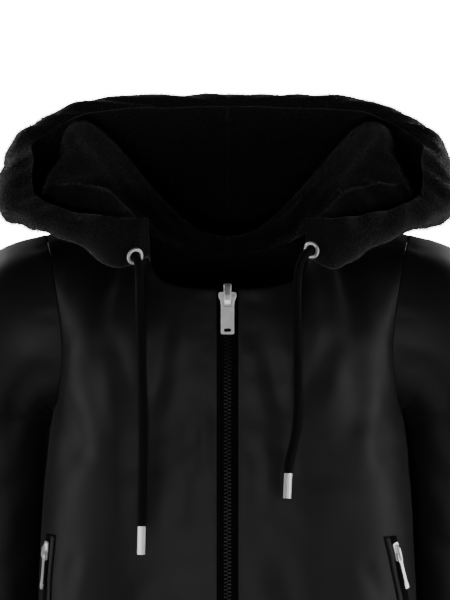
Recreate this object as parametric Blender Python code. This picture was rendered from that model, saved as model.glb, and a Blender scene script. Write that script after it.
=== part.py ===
"""Hooded bomber jacket, in the hollow form it has when worn.

Frame: +Z up, the front faces -Y, +X is the wearer's left. The origin is the middle of the neck,
level with the tops of the shoulders, where a wearer carries the jacket's weight.
Sizes are millimetres here, and each mesh is made in metres.
"""

import math
from collections import namedtuple

import bmesh
import bpy
import numpy as np
from mathutils import Matrix, Vector

MM = 0.001
COLLECTION = "Hooded bomber jacket"
SHARP_ANGLE = 50.0          # faces that turn more than this keep a sharp edge, in degrees

# ---------------------------------------------------------------- cloth and seams
SHELL_WALL = 2.0            # satin nylon shell with its backing
RIB_WALL = 2.0              # rib knit between its ribs
RIB_HEIGHT = 1.6            # how far a rib stands proud
PLUSH_WALL = 5.0            # hood: two layers of short-pile plush
PLUSH_SEAM_WALL = 1.6       # the hood thins to this at its neck seam
PLUSH_SEAM_REACH = 22.0     # and has its full wall this far from it
PLUSH_END_WALL = 2.2        # and it thins to this at its front end
PLUSH_END_CELLS = 8         # growing back over this many cells
SEAM_GAP = 0.3              # clearance between sewn pieces
UNDERARM_LEAN = 0.6         # how much of the front armhole the seam at the underarm follows

# ---------------------------------------------------------------- cells of the cloth walls
COLLAR_CELLS = 4            # zip edge to the hood's end, along the front neckline
SIDE_NECK_CELLS = 3         # hood's end to the shoulder seam
BACK_NECK_CELLS = 6         # shoulder seam to centre back
SHOULDER_CELLS = 4          # neck to armhole
ROWS_PER_BODY_STEP = 2
ARMHOLE_ROWS = 10
SLEEVE_FAN_ROWS = 5
ROWS_PER_SLEEVE_STEP = 2
HOOD_SPLITS_SIDE = 5        # hood cells on one cell of the side neckline
HOOD_SPLITS_BACK = 2        # hood cells on one cell of the back neckline
HOOD_STEP_ROWS = (1, 3, 3, 3, 3, 2, 2)  # rows between a section's points, neck seam to face edge
RIBS_PER_HEM_CELL = 2
RIBS_PER_CUFF_CELL = 2

# ---------------------------------------------------------------- body
FRONT_EDGE_X = 11.0         # half the strip of zip that shows
HEM_LENGTH = 62.0
HEM_DRAW = 3.0              # how far the hem band draws in towards its edge
BODY_ROUNDNESS = 2.6        # exponent of the section's superellipse
SLEEVE_CLEARANCE = 4.0      # sleeve to body, between the walls' middles

# A level section of the body: half width, and depth in front of and behind the side seam.
BodyRow = namedtuple("BodyRow", "z half_width front back")
BODY_ROWS = (
    BodyRow(-540.0, 168.0, 108.0, 104.0),
    BodyRow(-524.0, 186.0, 122.0, 117.0),
    BodyRow(-470.0, 196.0, 130.0, 122.0),
    BodyRow(-400.0, 196.0, 131.0, 119.0),
    BodyRow(-320.0, 193.0, 130.0, 114.0),
    BodyRow(-245.0, 188.0, 129.0, 111.0),
    BodyRow(-178.0, 180.0, 125.0, 110.0),
)

# The zip edge above the underarm's level, and the seams of the wearer's left half.
FRONT_EDGE = ((11.0, -125.0, -178.0), (11.0, -122.5, -120.0), (11.0, -113.0, -53.0))
CENTRE_BACK = ((0.0, 110.0, -178.0), (0.0, 104.0, -100.0), (0.0, 84.0, -45.0), (0.0, 62.0, -14.0))
FRONT_NECKLINE = ((11.0, -113.0, -53.0), (32.0, -112.0, -52.5), (55.0, -107.0, -49.0),
                  (69.0, -99.0, -42.0), (78.0, -91.0, -27.0))
SIDE_NECKLINE = ((78.0, -91.0, -27.0), (86.0, -64.0, -8.0), (90.0, -38.0, 6.0), (91.0, -12.0, 14.0))
BACK_NECKLINE = ((91.0, -12.0, 14.0), (84.0, 22.0, 6.0), (52.0, 53.0, -9.0), (0.0, 62.0, -14.0))
SHOULDER_SEAM = ((91.0, -12.0, 14.0), (140.0, -3.0, 11.0), (190.0, 2.0, 3.0))
ARMHOLE_FRONT = ((180.0, 0.0, -178.0), (174.0, -40.0, -163.0), (168.0, -62.0, -120.0),
                 (172.0, -64.0, -70.0), (181.0, -44.0, -20.0), (190.0, 2.0, 3.0))
ARMHOLE_BACK = ((180.0, 0.0, -178.0), (175.0, 42.0, -163.0), (171.0, 66.0, -120.0),
                (174.0, 70.0, -68.0), (182.0, 47.0, -19.0), (190.0, 2.0, 3.0))

# ---------------------------------------------------------------- sleeves
# The sleeve's head turns from the armhole's plane to a level ring about the underarm.
HeadRow = namedtuple("HeadRow", "angle inner_x inner_z across y half_y")
HEAD_ROWS = (
    HeadRow(0.0, 180.0, -178.0, 181.0, 2.0, 71.0),
    HeadRow(18.0, 184.5, -179.5, 175.0, 4.0, 73.0),
    HeadRow(36.0, 185.0, -182.5, 163.0, 10.0, 74.0),
    HeadRow(54.0, 184.0, -186.0, 152.0, 19.0, 74.0),
    HeadRow(72.0, 180.0, -191.0, 143.0, 30.0, 72.0),
    HeadRow(90.0, 177.0, -198.0, 138.0, 42.0, 70.0),
)
SleeveRow = namedtuple("SleeveRow", "z x y half_x half_y")
SLEEVE_ROWS = (
    SleeveRow(-198.0, 247.0, 42.0, 69.0, 70.0),
    SleeveRow(-290.0, 249.0, 48.0, 66.0, 68.0),
    SleeveRow(-380.0, 250.0, 48.0, 63.0, 65.0),
    SleeveRow(-465.0, 251.0, 42.0, 60.0, 61.0),
    SleeveRow(-530.0, 251.0, 32.0, 54.0, 55.0),
    SleeveRow(-552.0, 250.0, 28.0, 37.0, 39.0),
)
CUFF_LENGTH = 66.0
CUFF_DRAW = 2.5

# ---------------------------------------------------------------- hood
# Where each section of the hood passes, from its front end to the centre back. From the neck
# seam it climbs to an inner roll, drops into a pocket, turns up behind as a wall, and comes
# round the outside and the band to the face edge. Written for the wearer's right, x outward.
HoodRow = namedtuple("HoodRow", "roll pocket wall outer band edge")
HOOD_STATIONS = (
    HoodRow((78, -93, -25), (78, -97, -23), (78, -101, -20), (78, -105, -15), (79, -107, 2), (79, -103, 19)),
    HoodRow((96, -62, 22), (112, -84, 4), (113, -97, -24), (112, -110, -30), (112, -116, -9),
            (109, -106, 18)),
    HoodRow((138, -50, 52), (150, -57, 26), (158, -64, 4), (162, -78, -3), (161, -92, 9),
            (155, -84, 25)),
    HoodRow((178, -30, 58), (196, -12, 32), (219, -6, 16), (233, -26, 28), (223, -51, 36),
            (198, -53, 45)),
    HoodRow((165, 4, 92), (190, 50, 46), (225, 50, 50), (237, 8, 68), (226, -20, 72), (201, -20, 81)),
    HoodRow((166, 30, 116), (182, 86, 58), (214, 92, 84), (219, 44, 110), (213, 24, 112),
            (202, 20, 103)),
    HoodRow((143, 70, 121), (152, 116, 52), (190, 126, 92), (172, 76, 139), (166, 59, 140),
            (161, 53, 130)),
    HoodRow((92, 102, 56), (102, 138, 0), (146, 160, 60), (122, 82, 151), (119, 68, 150),
            (117, 63, 139)),
    HoodRow((0, 104, -22), (0, 138, -56), (0, 178, 40), (0, 90, 153), (0, 76, 153), (0, 71, 143)),
)
NECK_RISE = 20.0            # how far the hood stands up at the neck before it turns
NECK_RISE_CELLS = 13.0      # growing to that from its front end
NECK_RISE_OUT = 0.6         # how much of that rise leans outward
NECK_RISE_UP = 0.8          # and how much of it is upright
FOLD_LEAN = 0.3             # near its front end the hood leans straight towards its roll
NECK_CENTRE_Y = -15.0
HOOD_STATION_CELLS = (5, 5, 5, 2, 2, 2, 3, 3)  # neck cells between stations


# ---------------------------------------------------------------- curves and grids
def cubic_through(points, per_step):
    """Natural cubic curve through points, per_step pieces to each step between them."""
    points = np.asarray(points, float)
    steps = np.sqrt(np.linalg.norm(np.diff(points, axis=0), axis=1))
    knots = np.concatenate(([0.0], np.cumsum(steps)))
    last = len(points) - 1
    system = np.eye(last + 1)
    right = np.zeros_like(points)
    slopes = np.diff(points, axis=0) / steps[:, None]
    for i in range(1, last):
        system[i, i - 1] = steps[i - 1]
        system[i, i] = 2.0 * (steps[i - 1] + steps[i])
        system[i, i + 1] = steps[i]
        right[i] = 6.0 * (slopes[i] - slopes[i - 1])
    bends = np.linalg.solve(system, right)
    cell = np.concatenate([np.full(n, i) for i, n in enumerate(per_step)] + [[last - 1]])
    after = np.concatenate([np.arange(n) / n for n in per_step] + [[1.0]])[:, None]
    before = 1.0 - after
    return (before * points[cell] + after * points[cell + 1]
            + steps[cell][:, None] ** 2 / 6.0 * ((before ** 3 - before) * bends[cell]
                                                 + (after ** 3 - after) * bends[cell + 1]))


def smooth_curve(points, count):
    """Natural cubic curve through points, read at count + 1 even steps of its length."""
    return even_steps(cubic_through(points, [40] * (len(points) - 1)), count)


def even_steps(curve, count):
    """The polyline read again at count + 1 even steps of its length."""
    lengths = np.linalg.norm(np.diff(curve, axis=0), axis=1)
    along = np.concatenate(([0.0], np.cumsum(lengths)))
    wanted = np.linspace(0.0, along[-1], count + 1)
    return np.stack([np.interp(wanted, along, curve[:, axis]) for axis in range(3)], axis=1)


def rows_through(table, per_step):
    """Rows of numbers blended by a cubic between a table's rows, per_step to each of its steps."""
    rows = np.asarray(table, float)
    flat = rows.reshape(len(rows), -1)
    last = len(rows) - 1
    system = np.eye(last + 1)
    right = np.zeros_like(flat)
    for i in range(1, last):
        system[i, i - 1:i + 2] = 1.0, 4.0, 1.0
        right[i] = 6.0 * (flat[i + 1] - 2.0 * flat[i] + flat[i - 1])
    bends = np.linalg.solve(system, right)
    wanted = np.concatenate([i + np.arange(n) / n for i, n in enumerate(per_step)] + [[float(last)]])
    cell = np.minimum(wanted.astype(int), last - 1)
    after = (wanted - cell)[:, None]
    before = 1.0 - after
    result = (before * flat[cell] + after * flat[cell + 1]
              + ((before ** 3 - before) * bends[cell] + (after ** 3 - after) * bends[cell + 1]) / 6.0)
    return result.reshape((len(wanted),) + rows.shape[1:])


def split_cells(line, splits):
    """A polyline with each of its cells cut into equal parts, splits of them in each."""
    parts = [line[i] + (line[i + 1] - line[i]) * np.arange(n)[:, None] / n
             for i, n in enumerate(splits)]
    return np.concatenate(parts + [line[-1:]])


def whole_cells(splits):
    """Places in a split line that are ends of its whole cells."""
    return np.concatenate(([0], np.cumsum(splits)))


def mirrored_rows(table):
    """A table of points for half the jacket, followed by the twins of its last two rows."""
    rows = np.asarray(table, float)
    twins = rows[-2:-4:-1] * np.array((-1.0, 1.0, 1.0))
    return np.concatenate((rows, twins))


def mirrored(grid):
    """The grid's twin on the other side of the jacket."""
    return grid * np.array((-1.0, 1.0, 1.0))


def blended_patch(low, high, inner, outer):
    """Surface between four edges: rows run from inner to outer, and climb from low to high."""
    up = np.linspace(0.0, 1.0, len(inner))[:, None, None] ** 2
    out = np.linspace(0.0, 1.0, len(low))[None, :, None] ** 2
    rows = (1.0 - up) * low[None] + up * high[None]
    columns = (1.0 - out) * inner[:, None] + out * outer[:, None]
    corners = ((1.0 - up) * ((1.0 - out) * low[0] + out * low[-1])
               + up * ((1.0 - out) * high[0] + out * high[-1]))
    return rows + columns - corners


def grid_normals(grid, closed):
    """Unit normals of a grid of points; closed joins the last column to the first."""
    if closed:
        across = np.roll(grid, -1, axis=1) - np.roll(grid, 1, axis=1)
    else:
        across = np.gradient(grid, axis=1)
    along = np.gradient(grid, axis=0)
    normals = np.cross(across, along)
    return normals / np.maximum(np.linalg.norm(normals, axis=2, keepdims=True), 1e-9)


class Cloth:
    """A piece of cloth: its middle surface, the side its face is on, and its wall."""

    def __init__(self, name, grid, material, closed=False, flip=False):
        self.name = name
        self.grid = grid
        self.material = material
        self.closed = closed
        self.normals = grid_normals(grid, closed) * (-1.0 if flip else 1.0)
        self.outside = np.full(grid.shape[:2], SHELL_WALL / 2.0)
        self.inside = np.full(grid.shape[:2], SHELL_WALL / 2.0)


def share_seam_normals(cloths):
    """Gives points that pieces have in common one direction, so that their walls meet in a mitre."""
    sums = {}
    for cloth in cloths:
        for point, normal in zip(cloth.grid.reshape(-1, 3), cloth.normals.reshape(-1, 3)):
            key = tuple(np.round(point, 3))
            sums[key] = sums.get(key, 0.0) + normal
    for cloth in cloths:
        for row, column in np.ndindex(cloth.grid.shape[:2]):
            total = sums[tuple(np.round(cloth.grid[row, column], 3))]
            cloth.normals[row, column] = total / max(np.linalg.norm(total), 1e-9)


def ease_underarm(front, back, sleeve, side, row):
    """Gives the side seam's top a blend of the directions beside it along the armhole."""
    blend = UNDERARM_LEAN * sleeve.normals[0, 1] + sleeve.normals[0, -1]
    blend /= np.linalg.norm(blend)
    front.normals[row, -1] = blend
    back.normals[row, -1 if side == "left" else 0] = blend
    sleeve.normals[0, 0] = blend


def square_seam(cloth, row):
    """Turns one row's directions level, so that its rim is flat against the band it is sewn to."""
    level = cloth.normals[row] * np.array((1.0, 1.0, 0.0))
    cloth.normals[row] = level / np.linalg.norm(level, axis=1, keepdims=True)


def drawn_in(grid, closed):
    """The grid with its open borders moved in by half a seam gap."""
    grid = grid.copy()
    pairs = [((0, slice(None)), (1, slice(None))), ((-1, slice(None)), (-2, slice(None)))]
    if not closed:
        pairs += [((slice(None), 0), (slice(None), 1)), ((slice(None), -1), (slice(None), -2))]
    for border, neighbour in pairs:
        step = grid[neighbour] - grid[border]
        grid[border] += step / np.linalg.norm(step, axis=1, keepdims=True) * SEAM_GAP / 2.0
    return grid


# ---------------------------------------------------------------- making objects
def clear_scene():
    """Empties the file's scene."""
    for item in list(bpy.data.objects):
        bpy.data.objects.remove(item, do_unlink=True)


def make_material(name, color, roughness, metallic=0.0):
    """A Principled material."""
    material = bpy.data.materials.new(name)
    material.use_nodes = True
    shader = material.node_tree.nodes["Principled BSDF"]
    shader.inputs["Base Color"].default_value = (*color, 1.0)
    shader.inputs["Roughness"].default_value = roughness
    shader.inputs["Metallic"].default_value = metallic
    return material


def add_object(name, mesh, material):
    """Puts a mesh in the jacket's collection under the piece's name."""
    piece = bpy.data.objects.new(name, mesh)
    bpy.data.collections[COLLECTION].objects.link(piece)
    mesh.materials.clear()
    mesh.materials.append(material)
    return piece


def make_wall(cloth):
    """Closed wall lofted between the two sides of a piece of cloth."""
    middle = drawn_in(cloth.grid, cloth.closed)
    front = middle + cloth.normals * cloth.outside[..., None]
    back = middle - cloth.normals * cloth.inside[..., None]
    rows, columns = middle.shape[:2]
    half = rows * columns
    spans = columns if cloth.closed else columns - 1

    def corner(layer, row, column):
        return layer * half + row * columns + column % columns

    faces = []
    for row in range(rows - 1):
        for column in range(spans):
            for layer in (0, 1):
                faces.append([corner(layer, row, column), corner(layer, row, column + 1),
                              corner(layer, row + 1, column + 1), corner(layer, row + 1, column)])
    for row in (0, rows - 1):
        for column in range(spans):
            faces.append([corner(0, row, column), corner(0, row, column + 1),
                          corner(1, row, column + 1), corner(1, row, column)])
    if not cloth.closed:
        for column in (0, columns - 1):
            for row in range(rows - 1):
                faces.append([corner(0, row, column), corner(0, row + 1, column),
                              corner(1, row + 1, column), corner(1, row, column)])
    points = np.concatenate((front.reshape(-1, 3), back.reshape(-1, 3))) * MM
    mesh = bpy.data.meshes.new(cloth.name)
    mesh.from_pydata(points.tolist(), [], faces)
    shape = bmesh.new()
    shape.from_mesh(mesh)
    bmesh.ops.recalc_face_normals(shape, faces=shape.faces)
    shape.to_mesh(mesh)
    shape.free()
    mesh.shade_smooth()
    mesh.set_sharp_from_angle(angle=math.radians(SHARP_ANGLE))
    return add_object(cloth.name, mesh, cloth.material)


# ---------------------------------------------------------------- the body's panels
def section_line(half_width, start, end, cells):
    """Part of a superellipse about the body's axis, from start to end, which also share out its height."""
    angles = np.linspace(0.0, math.pi / 2.0, 181)
    power = 2.0 / BODY_ROUNDNESS
    line = np.stack([half_width * np.sin(angles) ** power, start[1] * np.cos(angles) ** power,
                     np.zeros_like(angles)], axis=1)
    first, last = np.searchsorted(line[:, 0], (start[0] + SEAM_GAP, end[0] - SEAM_GAP))
    flat = np.array((1.0, 1.0, 0.0))
    line = even_steps(np.concatenate((start[None] * flat, line[first:last], end[None] * flat)), cells)
    line[:, 2] = np.linspace(start[2], end[2], cells + 1)
    return line


def width_through(start, end):
    """Half width of the superellipse whose depth is the start's and which passes the end."""
    share = min(abs(end[1] / start[1]), 1.0)
    return end[0] / (1.0 - share ** BODY_ROUNDNESS) ** (1.0 / BODY_ROUNDNESS)


def body_half(front):
    """Grid of the wearer's left front, or of the left half of the back, and its neckline."""
    cells = (COLLAR_CELLS + SIDE_NECK_CELLS if front else BACK_NECK_CELLS) + SHOULDER_CELLS
    lower = []
    for z, half_width, ahead, behind in rows_through(BODY_ROWS, [ROWS_PER_BODY_STEP] * (len(BODY_ROWS) - 1)):
        start = np.array((FRONT_EDGE_X, -ahead, z) if front else (0.0, behind, z))
        lower.append(section_line(half_width, start, np.array((half_width, 0.0, z)), cells))
    if front:
        neckline = np.concatenate((smooth_curve(FRONT_NECKLINE, COLLAR_CELLS)[:-1],
                                   smooth_curve(SIDE_NECKLINE, SIDE_NECK_CELLS)))
        inner = smooth_curve(FRONT_EDGE, ARMHOLE_ROWS)
        outer = smooth_curve(ARMHOLE_FRONT, ARMHOLE_ROWS)
    else:
        neckline = smooth_curve(BACK_NECKLINE, BACK_NECK_CELLS)[::-1]
        inner = smooth_curve(CENTRE_BACK, ARMHOLE_ROWS)
        outer = smooth_curve(ARMHOLE_BACK, ARMHOLE_ROWS)
    top = np.concatenate((neckline, smooth_curve(SHOULDER_SEAM, SHOULDER_CELLS)[1:]))
    patch = blended_patch(lower[-1], top, inner, outer)
    chest = np.stack([section_line(width_through(start, end), start, end, cells)
                      for start, end in zip(inner, outer)])
    chest[-1] = top
    up = np.linspace(0.0, 1.0, ARMHOLE_ROWS + 1)[:, None, None]
    share = up ** 2 * (3.0 - 2.0 * up)
    upper = (1.0 - share) * chest + share * patch
    return np.concatenate((lower, upper[1:])), neckline


# ---------------------------------------------------------------- sleeves
def beside_body(ring):
    """The ring with the points that would reach the body's side moved out, just clear of it."""
    table = np.asarray(BODY_ROWS)
    level = np.maximum(ring[:, 2], table[0, 0])
    width, front, back = (np.interp(level, table[:, 0], table[:, i]) for i in (1, 2, 3))
    depth = np.where(ring[:, 1] < 0.0, front, back)
    share = np.clip(np.abs(ring[:, 1]) / depth, 0.0, 1.0)
    side = width * (1.0 - share ** BODY_ROUNDNESS) ** (1.0 / BODY_ROUNDNESS)
    ring[:, 0] = np.maximum(ring[:, 0], side + SLEEVE_CLEARANCE)
    return ring


def sleeve_grid(armhole):
    """Rings from the armhole, over the sleeve's head and down to the cuff seam."""
    count = len(armhole)
    turn = np.arange(count) / count * 2.0 * math.pi
    start = HEAD_ROWS[0]
    own_reach = (armhole[:, 2] - start.inner_z) / start.across
    own_y = (armhole[:, 1] - start.y) / start.half_y
    rings = [armhole]
    for step, row in enumerate(HEAD_ROWS[1:], start=1):
        blend = step / SLEEVE_FAN_ROWS
        reach = ((1.0 - blend) * own_reach + blend * (1.0 - np.cos(turn)) / 2.0) * row.across
        side = (1.0 - blend) * own_y - blend * np.sin(turn)
        lean = math.radians(row.angle)
        rings.append(beside_body(np.stack([row.inner_x + reach * math.sin(lean),
                                           row.y + side * row.half_y,
                                           row.inner_z + reach * math.cos(lean)], axis=1)))
    for row in rows_through(SLEEVE_ROWS, [ROWS_PER_SLEEVE_STEP] * (len(SLEEVE_ROWS) - 1))[1:]:
        z, x, y, half_x, half_y = row
        rings.append(beside_body(np.stack([x - half_x * np.cos(turn), y - half_y * np.sin(turn),
                                           np.full(count, z)], axis=1)))
    return np.stack(rings)


def rib_band(name, seam, splits, length, draw, centre, closed, material):
    """A rib-knit band that hangs from a seam, its ribs raised on the outer side only."""
    line = np.concatenate((seam, seam[:1])) if closed else seam
    top = split_cells(line, [splits] * (len(line) - 1))
    if closed:
        top = top[:-1]
    inward = np.asarray(centre) - top[:, :2]
    inward /= np.linalg.norm(inward, axis=1, keepdims=True)
    bottom = top.copy()
    bottom[:, :2] += inward * draw
    bottom[:, 2] = top[:, 2] - length
    band = Cloth(name, np.stack((bottom, top)), material, closed)
    band.inside[:] = RIB_WALL / 2.0
    band.outside[:] = RIB_WALL / 2.0
    band.outside[:, ::2] += RIB_HEIGHT
    return band


# ---------------------------------------------------------------- hood
def hood_grid(neck_line, splits):
    """Half the hood: sections from the neck seam to the face edge, front end to centre back."""
    neck = split_cells(neck_line, splits)
    stations = rows_through(mirrored_rows(HOOD_STATIONS), HOOD_STATION_CELLS + (1, 1))[:len(neck)]
    sections = []
    for index, (base, passes) in enumerate(zip(neck, stations)):
        out = np.array((base[0], base[1] - NECK_CENTRE_Y, 0.0))
        out /= np.linalg.norm(out)
        share = min(1.0, index / NECK_RISE_CELLS) ** 2
        rise = base + share * NECK_RISE * (NECK_RISE_OUT * out + np.array((0.0, 0.0, NECK_RISE_UP)))
        rise += (1.0 - share) * FOLD_LEAN * (passes[0] - base)
        sections.append(cubic_through(np.concatenate(([base, rise], passes)), HOOD_STEP_ROWS))
    return np.stack(sections, axis=1)


# ---------------------------------------------------------------- hardware: shared tools
CORNER_STEPS = 3
# Turns a plate on edge, so that its outline is a side view: y up, then height.
ON_EDGE = Matrix(((0.0, 0.0, 1.0, 0.0), (1.0, 0.0, 0.0, 0.0), (0.0, 1.0, 0.0, 0.0), (0.0, 0.0, 0.0, 1.0)))


def flat_outline(name, outlines, thickness, bevel, material):
    """A plate: closed outlines in millimetres, the holes' too, filled and given thickness."""
    curve = bpy.data.curves.new(name, "CURVE")
    curve.dimensions = "2D"
    curve.fill_mode = "BOTH"
    curve.extrude = (thickness / 2.0 - bevel) * MM
    curve.bevel_depth = bevel * MM
    curve.bevel_resolution = 0
    for outline in outlines:
        line = curve.splines.new("POLY")
        line.points.add(len(outline) - 1)
        for point, (x, y) in zip(line.points, outline):
            point.co = (x * MM, y * MM, 0.0, 1.0)
        line.use_cyclic_u = True
    source = bpy.data.objects.new(name + "_outline", curve)
    bpy.context.scene.collection.objects.link(source)
    mesh = bpy.data.meshes.new_from_object(source.evaluated_get(bpy.context.evaluated_depsgraph_get()))
    bpy.data.objects.remove(source)
    shape = bmesh.new()
    shape.from_mesh(mesh)
    bmesh.ops.remove_doubles(shape, verts=shape.verts, dist=1e-6)
    bmesh.ops.recalc_face_normals(shape, faces=shape.faces)
    shape.to_mesh(mesh)
    shape.free()
    mesh.name = name
    return add_object(name, mesh, material)


def rounded_box(half_x, low_y, high_y, radius):
    """Outline of a rectangle with round corners, counter-clockwise."""
    corners = ((half_x, high_y, 0.0), (-half_x, high_y, 90.0), (-half_x, low_y, 180.0),
               (half_x, low_y, 270.0))
    points = []
    for x, y, start in corners:
        centre_x = x - math.copysign(radius, x)
        centre_y = y - (radius if y == high_y else -radius)
        for step in range(CORNER_STEPS + 1):
            angle = math.radians(start + 90.0 * step / CORNER_STEPS)
            points.append((centre_x + radius * math.cos(angle), centre_y + radius * math.sin(angle)))
    return points


def both_halves(half):
    """A closed outline from its right half, read from its top."""
    return list(half) + [(-x, y) for x, y in half[::-1]]


def frame_at(point, right, out):
    """Hardware frame in metres: X along right, Z along out, Y completing it, at a point in mm."""
    out = Vector(out).normalized()
    right = (Vector(right) - out * Vector(right).dot(out)).normalized()
    up = out.cross(right)
    matrix = Matrix((right, up, out)).transposed().to_4x4()
    matrix.translation = Vector(point) * MM
    return matrix


def shift(x, y, z):
    """A move given in millimetres."""
    return Matrix.Translation(Vector((x, y, z)) * MM)


def bake_places(pieces):
    """Moves each piece's place into its mesh."""
    bpy.context.view_layer.update()
    for piece in pieces:
        piece.data.transform(piece.matrix_world)
        piece.matrix_world = Matrix.Identity(4)


def joined(target, others):
    """Boolean union of the other objects into the target, with the others removed."""
    for other in others:
        union = target.modifiers.new("union", "BOOLEAN")
        union.operation = "UNION"
        union.solver = "EXACT"
        union.object = other
        bpy.context.view_layer.update()
        graph = bpy.context.evaluated_depsgraph_get()
        mesh = bpy.data.meshes.new_from_object(target.evaluated_get(graph))
        target.modifiers.clear()
        target.data = mesh
        bpy.data.objects.remove(other)
    return target


# ---------------------------------------------------------------- front zip
ZIP_TAPE_WIDTH = 16.0
ZIP_TAPE_WALL = 1.0
ZIP_CHAIN_HALF = 3.3        # half the closed row of teeth
ZIP_CHAIN_EDGE = 0.4        # width of the chain's sloping side
ZIP_CHAIN_PROUD = 2.6       # teeth in front of the tape's middle
ZIP_BEHIND = 1.9            # tape's middle behind the panel's middle
SLIDER_TOP_Z = -48.2
SLIDER_PLATE = 1.8
SLIDER_LIFT = 1.6           # slider plate's back, in front of the panel's middle
SLIDER_BEVEL = 0.3
SLIDER_BACK_WALL = 1.4
SLIDER_BACK_BEVEL = 0.2
SLIDER_POST_HALF = 2.4
SLIDER_POST_CORNER = 0.8
SLIDER_POST_BEVEL = 0.1
SLIDER_POST = (-4.2, -1.0)  # lower and upper end of the post between the slider's two plates
SLIDER_SINK = 1.0           # how deep the post reaches into the front plate
BRIDGE_WIDTH = 6.4
BRIDGE_BEVEL = 0.5
PULL_WIDTH = 12.8
PULL_LENGTH = 38.2
PULL_WALL = 1.5
PULL_CORNER = 1.4
PULL_BEVEL = 0.25
PULL_SIDE = 2.55            # width of the pull beside its window and its slot
PULL_WINDOW_LOW = -11.2
PULL_WINDOW_CORNER = 0.8
PULL_SLOT = (2.0, 5.8)      # the slot's ends, above the pull's lower edge
PULL_SLOT_CORNER = 1.8
PULL_AXIS_LIFT = 1.5        # hinge axis in front of the slider plate
PULL_TOP = 12.8             # top of the pull below the slider's nose
CROSSBAR = 1.8

# Right half of the slider plate's outline, from its nose to its tail, x outward and y up.
SLIDER_HALF = ((2.6, 0.0), (3.4, -0.8), (3.4, -8.2), (7.8, -8.6), (8.6, -9.6), (8.6, -13.2), (6.8, -17.5),
               (6.2, -24.0))
# Right half of the back plate's outline, whose nose is as narrow as the front one's.
SLIDER_BACK_HALF = ((2.2, -0.6), (2.6, -1.0), (2.6, -5.0), (5.4, -6.2), (6.0, -6.8), (6.0, -19.0),
                    (5.0, -20.0))
# Side view of the bridge that carries the pull: y up, height above the plate.
BRIDGE_SIDE = ((-0.4, -0.5), (-0.4, 1.8), (-3.0, 3.4), (-8.0, 4.5), (-12.0, 5.0), (-17.0, 5.0),
               (-20.5, 3.8), (-22.6, 1.6), (-23.0, -0.5), (-18.4, -0.5), (-17.4, 2.6), (-16.0, 3.5),
               (-12.2, 3.5), (-11.2, 2.6), (-10.8, -0.5))


def zip_tape(name, edge, normals, side, material):
    """One zip tape with its half of the toothed chain, behind the panel's edge."""
    columns = np.array((SEAM_GAP / 2.0, ZIP_CHAIN_HALF, ZIP_CHAIN_HALF + ZIP_CHAIN_EDGE, ZIP_TAPE_WIDTH))
    back = normals * np.array((0.0, 1.0, 1.0))
    back /= np.linalg.norm(back, axis=1, keepdims=True)
    line = edge - back * ZIP_BEHIND
    grid = np.repeat(line[:, None, :], len(columns), axis=1)
    grid[..., 0] = columns[None, :] * side
    tape = Cloth(name, grid, material)
    tape.normals = np.repeat(back[:, None, :], len(columns), axis=1)
    tape.outside[:] = ZIP_TAPE_WALL / 2.0
    tape.inside[:] = ZIP_TAPE_WALL / 2.0
    tape.outside[:, :2] = ZIP_CHAIN_PROUD
    return tape


def front_zip_slider(metal):
    """The slider with its bridge, and its pull hanging from the crossbar."""
    neck, chest = np.array(FRONT_EDGE[-1]), np.array(FRONT_EDGE[-2])
    down = (chest - neck) / np.linalg.norm(chest - neck)
    nose = neck + down * (SLIDER_TOP_Z - neck[2]) / down[2]
    nose[0] = 0.0
    frame = frame_at(nose, (1.0, 0.0, 0.0), (0.0, down[2], -down[1]))
    plate = flat_outline("zip_slider", [both_halves(SLIDER_HALF)], SLIDER_PLATE, SLIDER_BEVEL, metal)
    plate.matrix_world = frame @ shift(0.0, 0.0, SLIDER_LIFT + SLIDER_PLATE / 2.0)
    back = flat_outline("zip_slider_back", [both_halves(SLIDER_BACK_HALF)], SLIDER_BACK_WALL,
                        SLIDER_BACK_BEVEL, metal)
    back_lift = -ZIP_BEHIND - ZIP_TAPE_WALL / 2.0 - SEAM_GAP - SLIDER_BACK_WALL / 2.0
    back.matrix_world = frame @ shift(0.0, 0.0, back_lift)
    post_depth = SLIDER_LIFT + SLIDER_SINK - back_lift
    post_outline = rounded_box(SLIDER_POST_HALF, *SLIDER_POST, SLIDER_POST_CORNER)
    post = flat_outline("zip_slider_post", [post_outline], post_depth, SLIDER_POST_BEVEL, metal)
    post.matrix_world = frame @ shift(0.0, 0.0, back_lift + post_depth / 2.0)
    top = SLIDER_LIFT + SLIDER_PLATE
    bridge = flat_outline("zip_slider_bridge", [BRIDGE_SIDE], BRIDGE_WIDTH, BRIDGE_BEVEL, metal)
    bridge.matrix_world = frame @ shift(0.0, 0.0, top) @ ON_EDGE
    bake_places([plate, back, post, bridge])
    joined(plate, [back, post, bridge])
    inner = PULL_WIDTH / 2.0 - PULL_SIDE
    slot = PULL_SLOT[0] - PULL_LENGTH, PULL_SLOT[1] - PULL_LENGTH
    outlines = [rounded_box(PULL_WIDTH / 2.0, -PULL_LENGTH, 0.0, PULL_CORNER),
                rounded_box(inner, PULL_WINDOW_LOW, -CROSSBAR, PULL_WINDOW_CORNER)[::-1],
                rounded_box(inner, *slot, PULL_SLOT_CORNER)[::-1]]
    pull = flat_outline("zip_pull", outlines, PULL_WALL, PULL_BEVEL, metal)
    pull.data.transform(shift(0.0, CROSSBAR / 2.0, 0.0))
    pull.matrix_world = frame @ shift(0.0, -PULL_TOP - CROSSBAR / 2.0, top + PULL_AXIS_LIFT)


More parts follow.
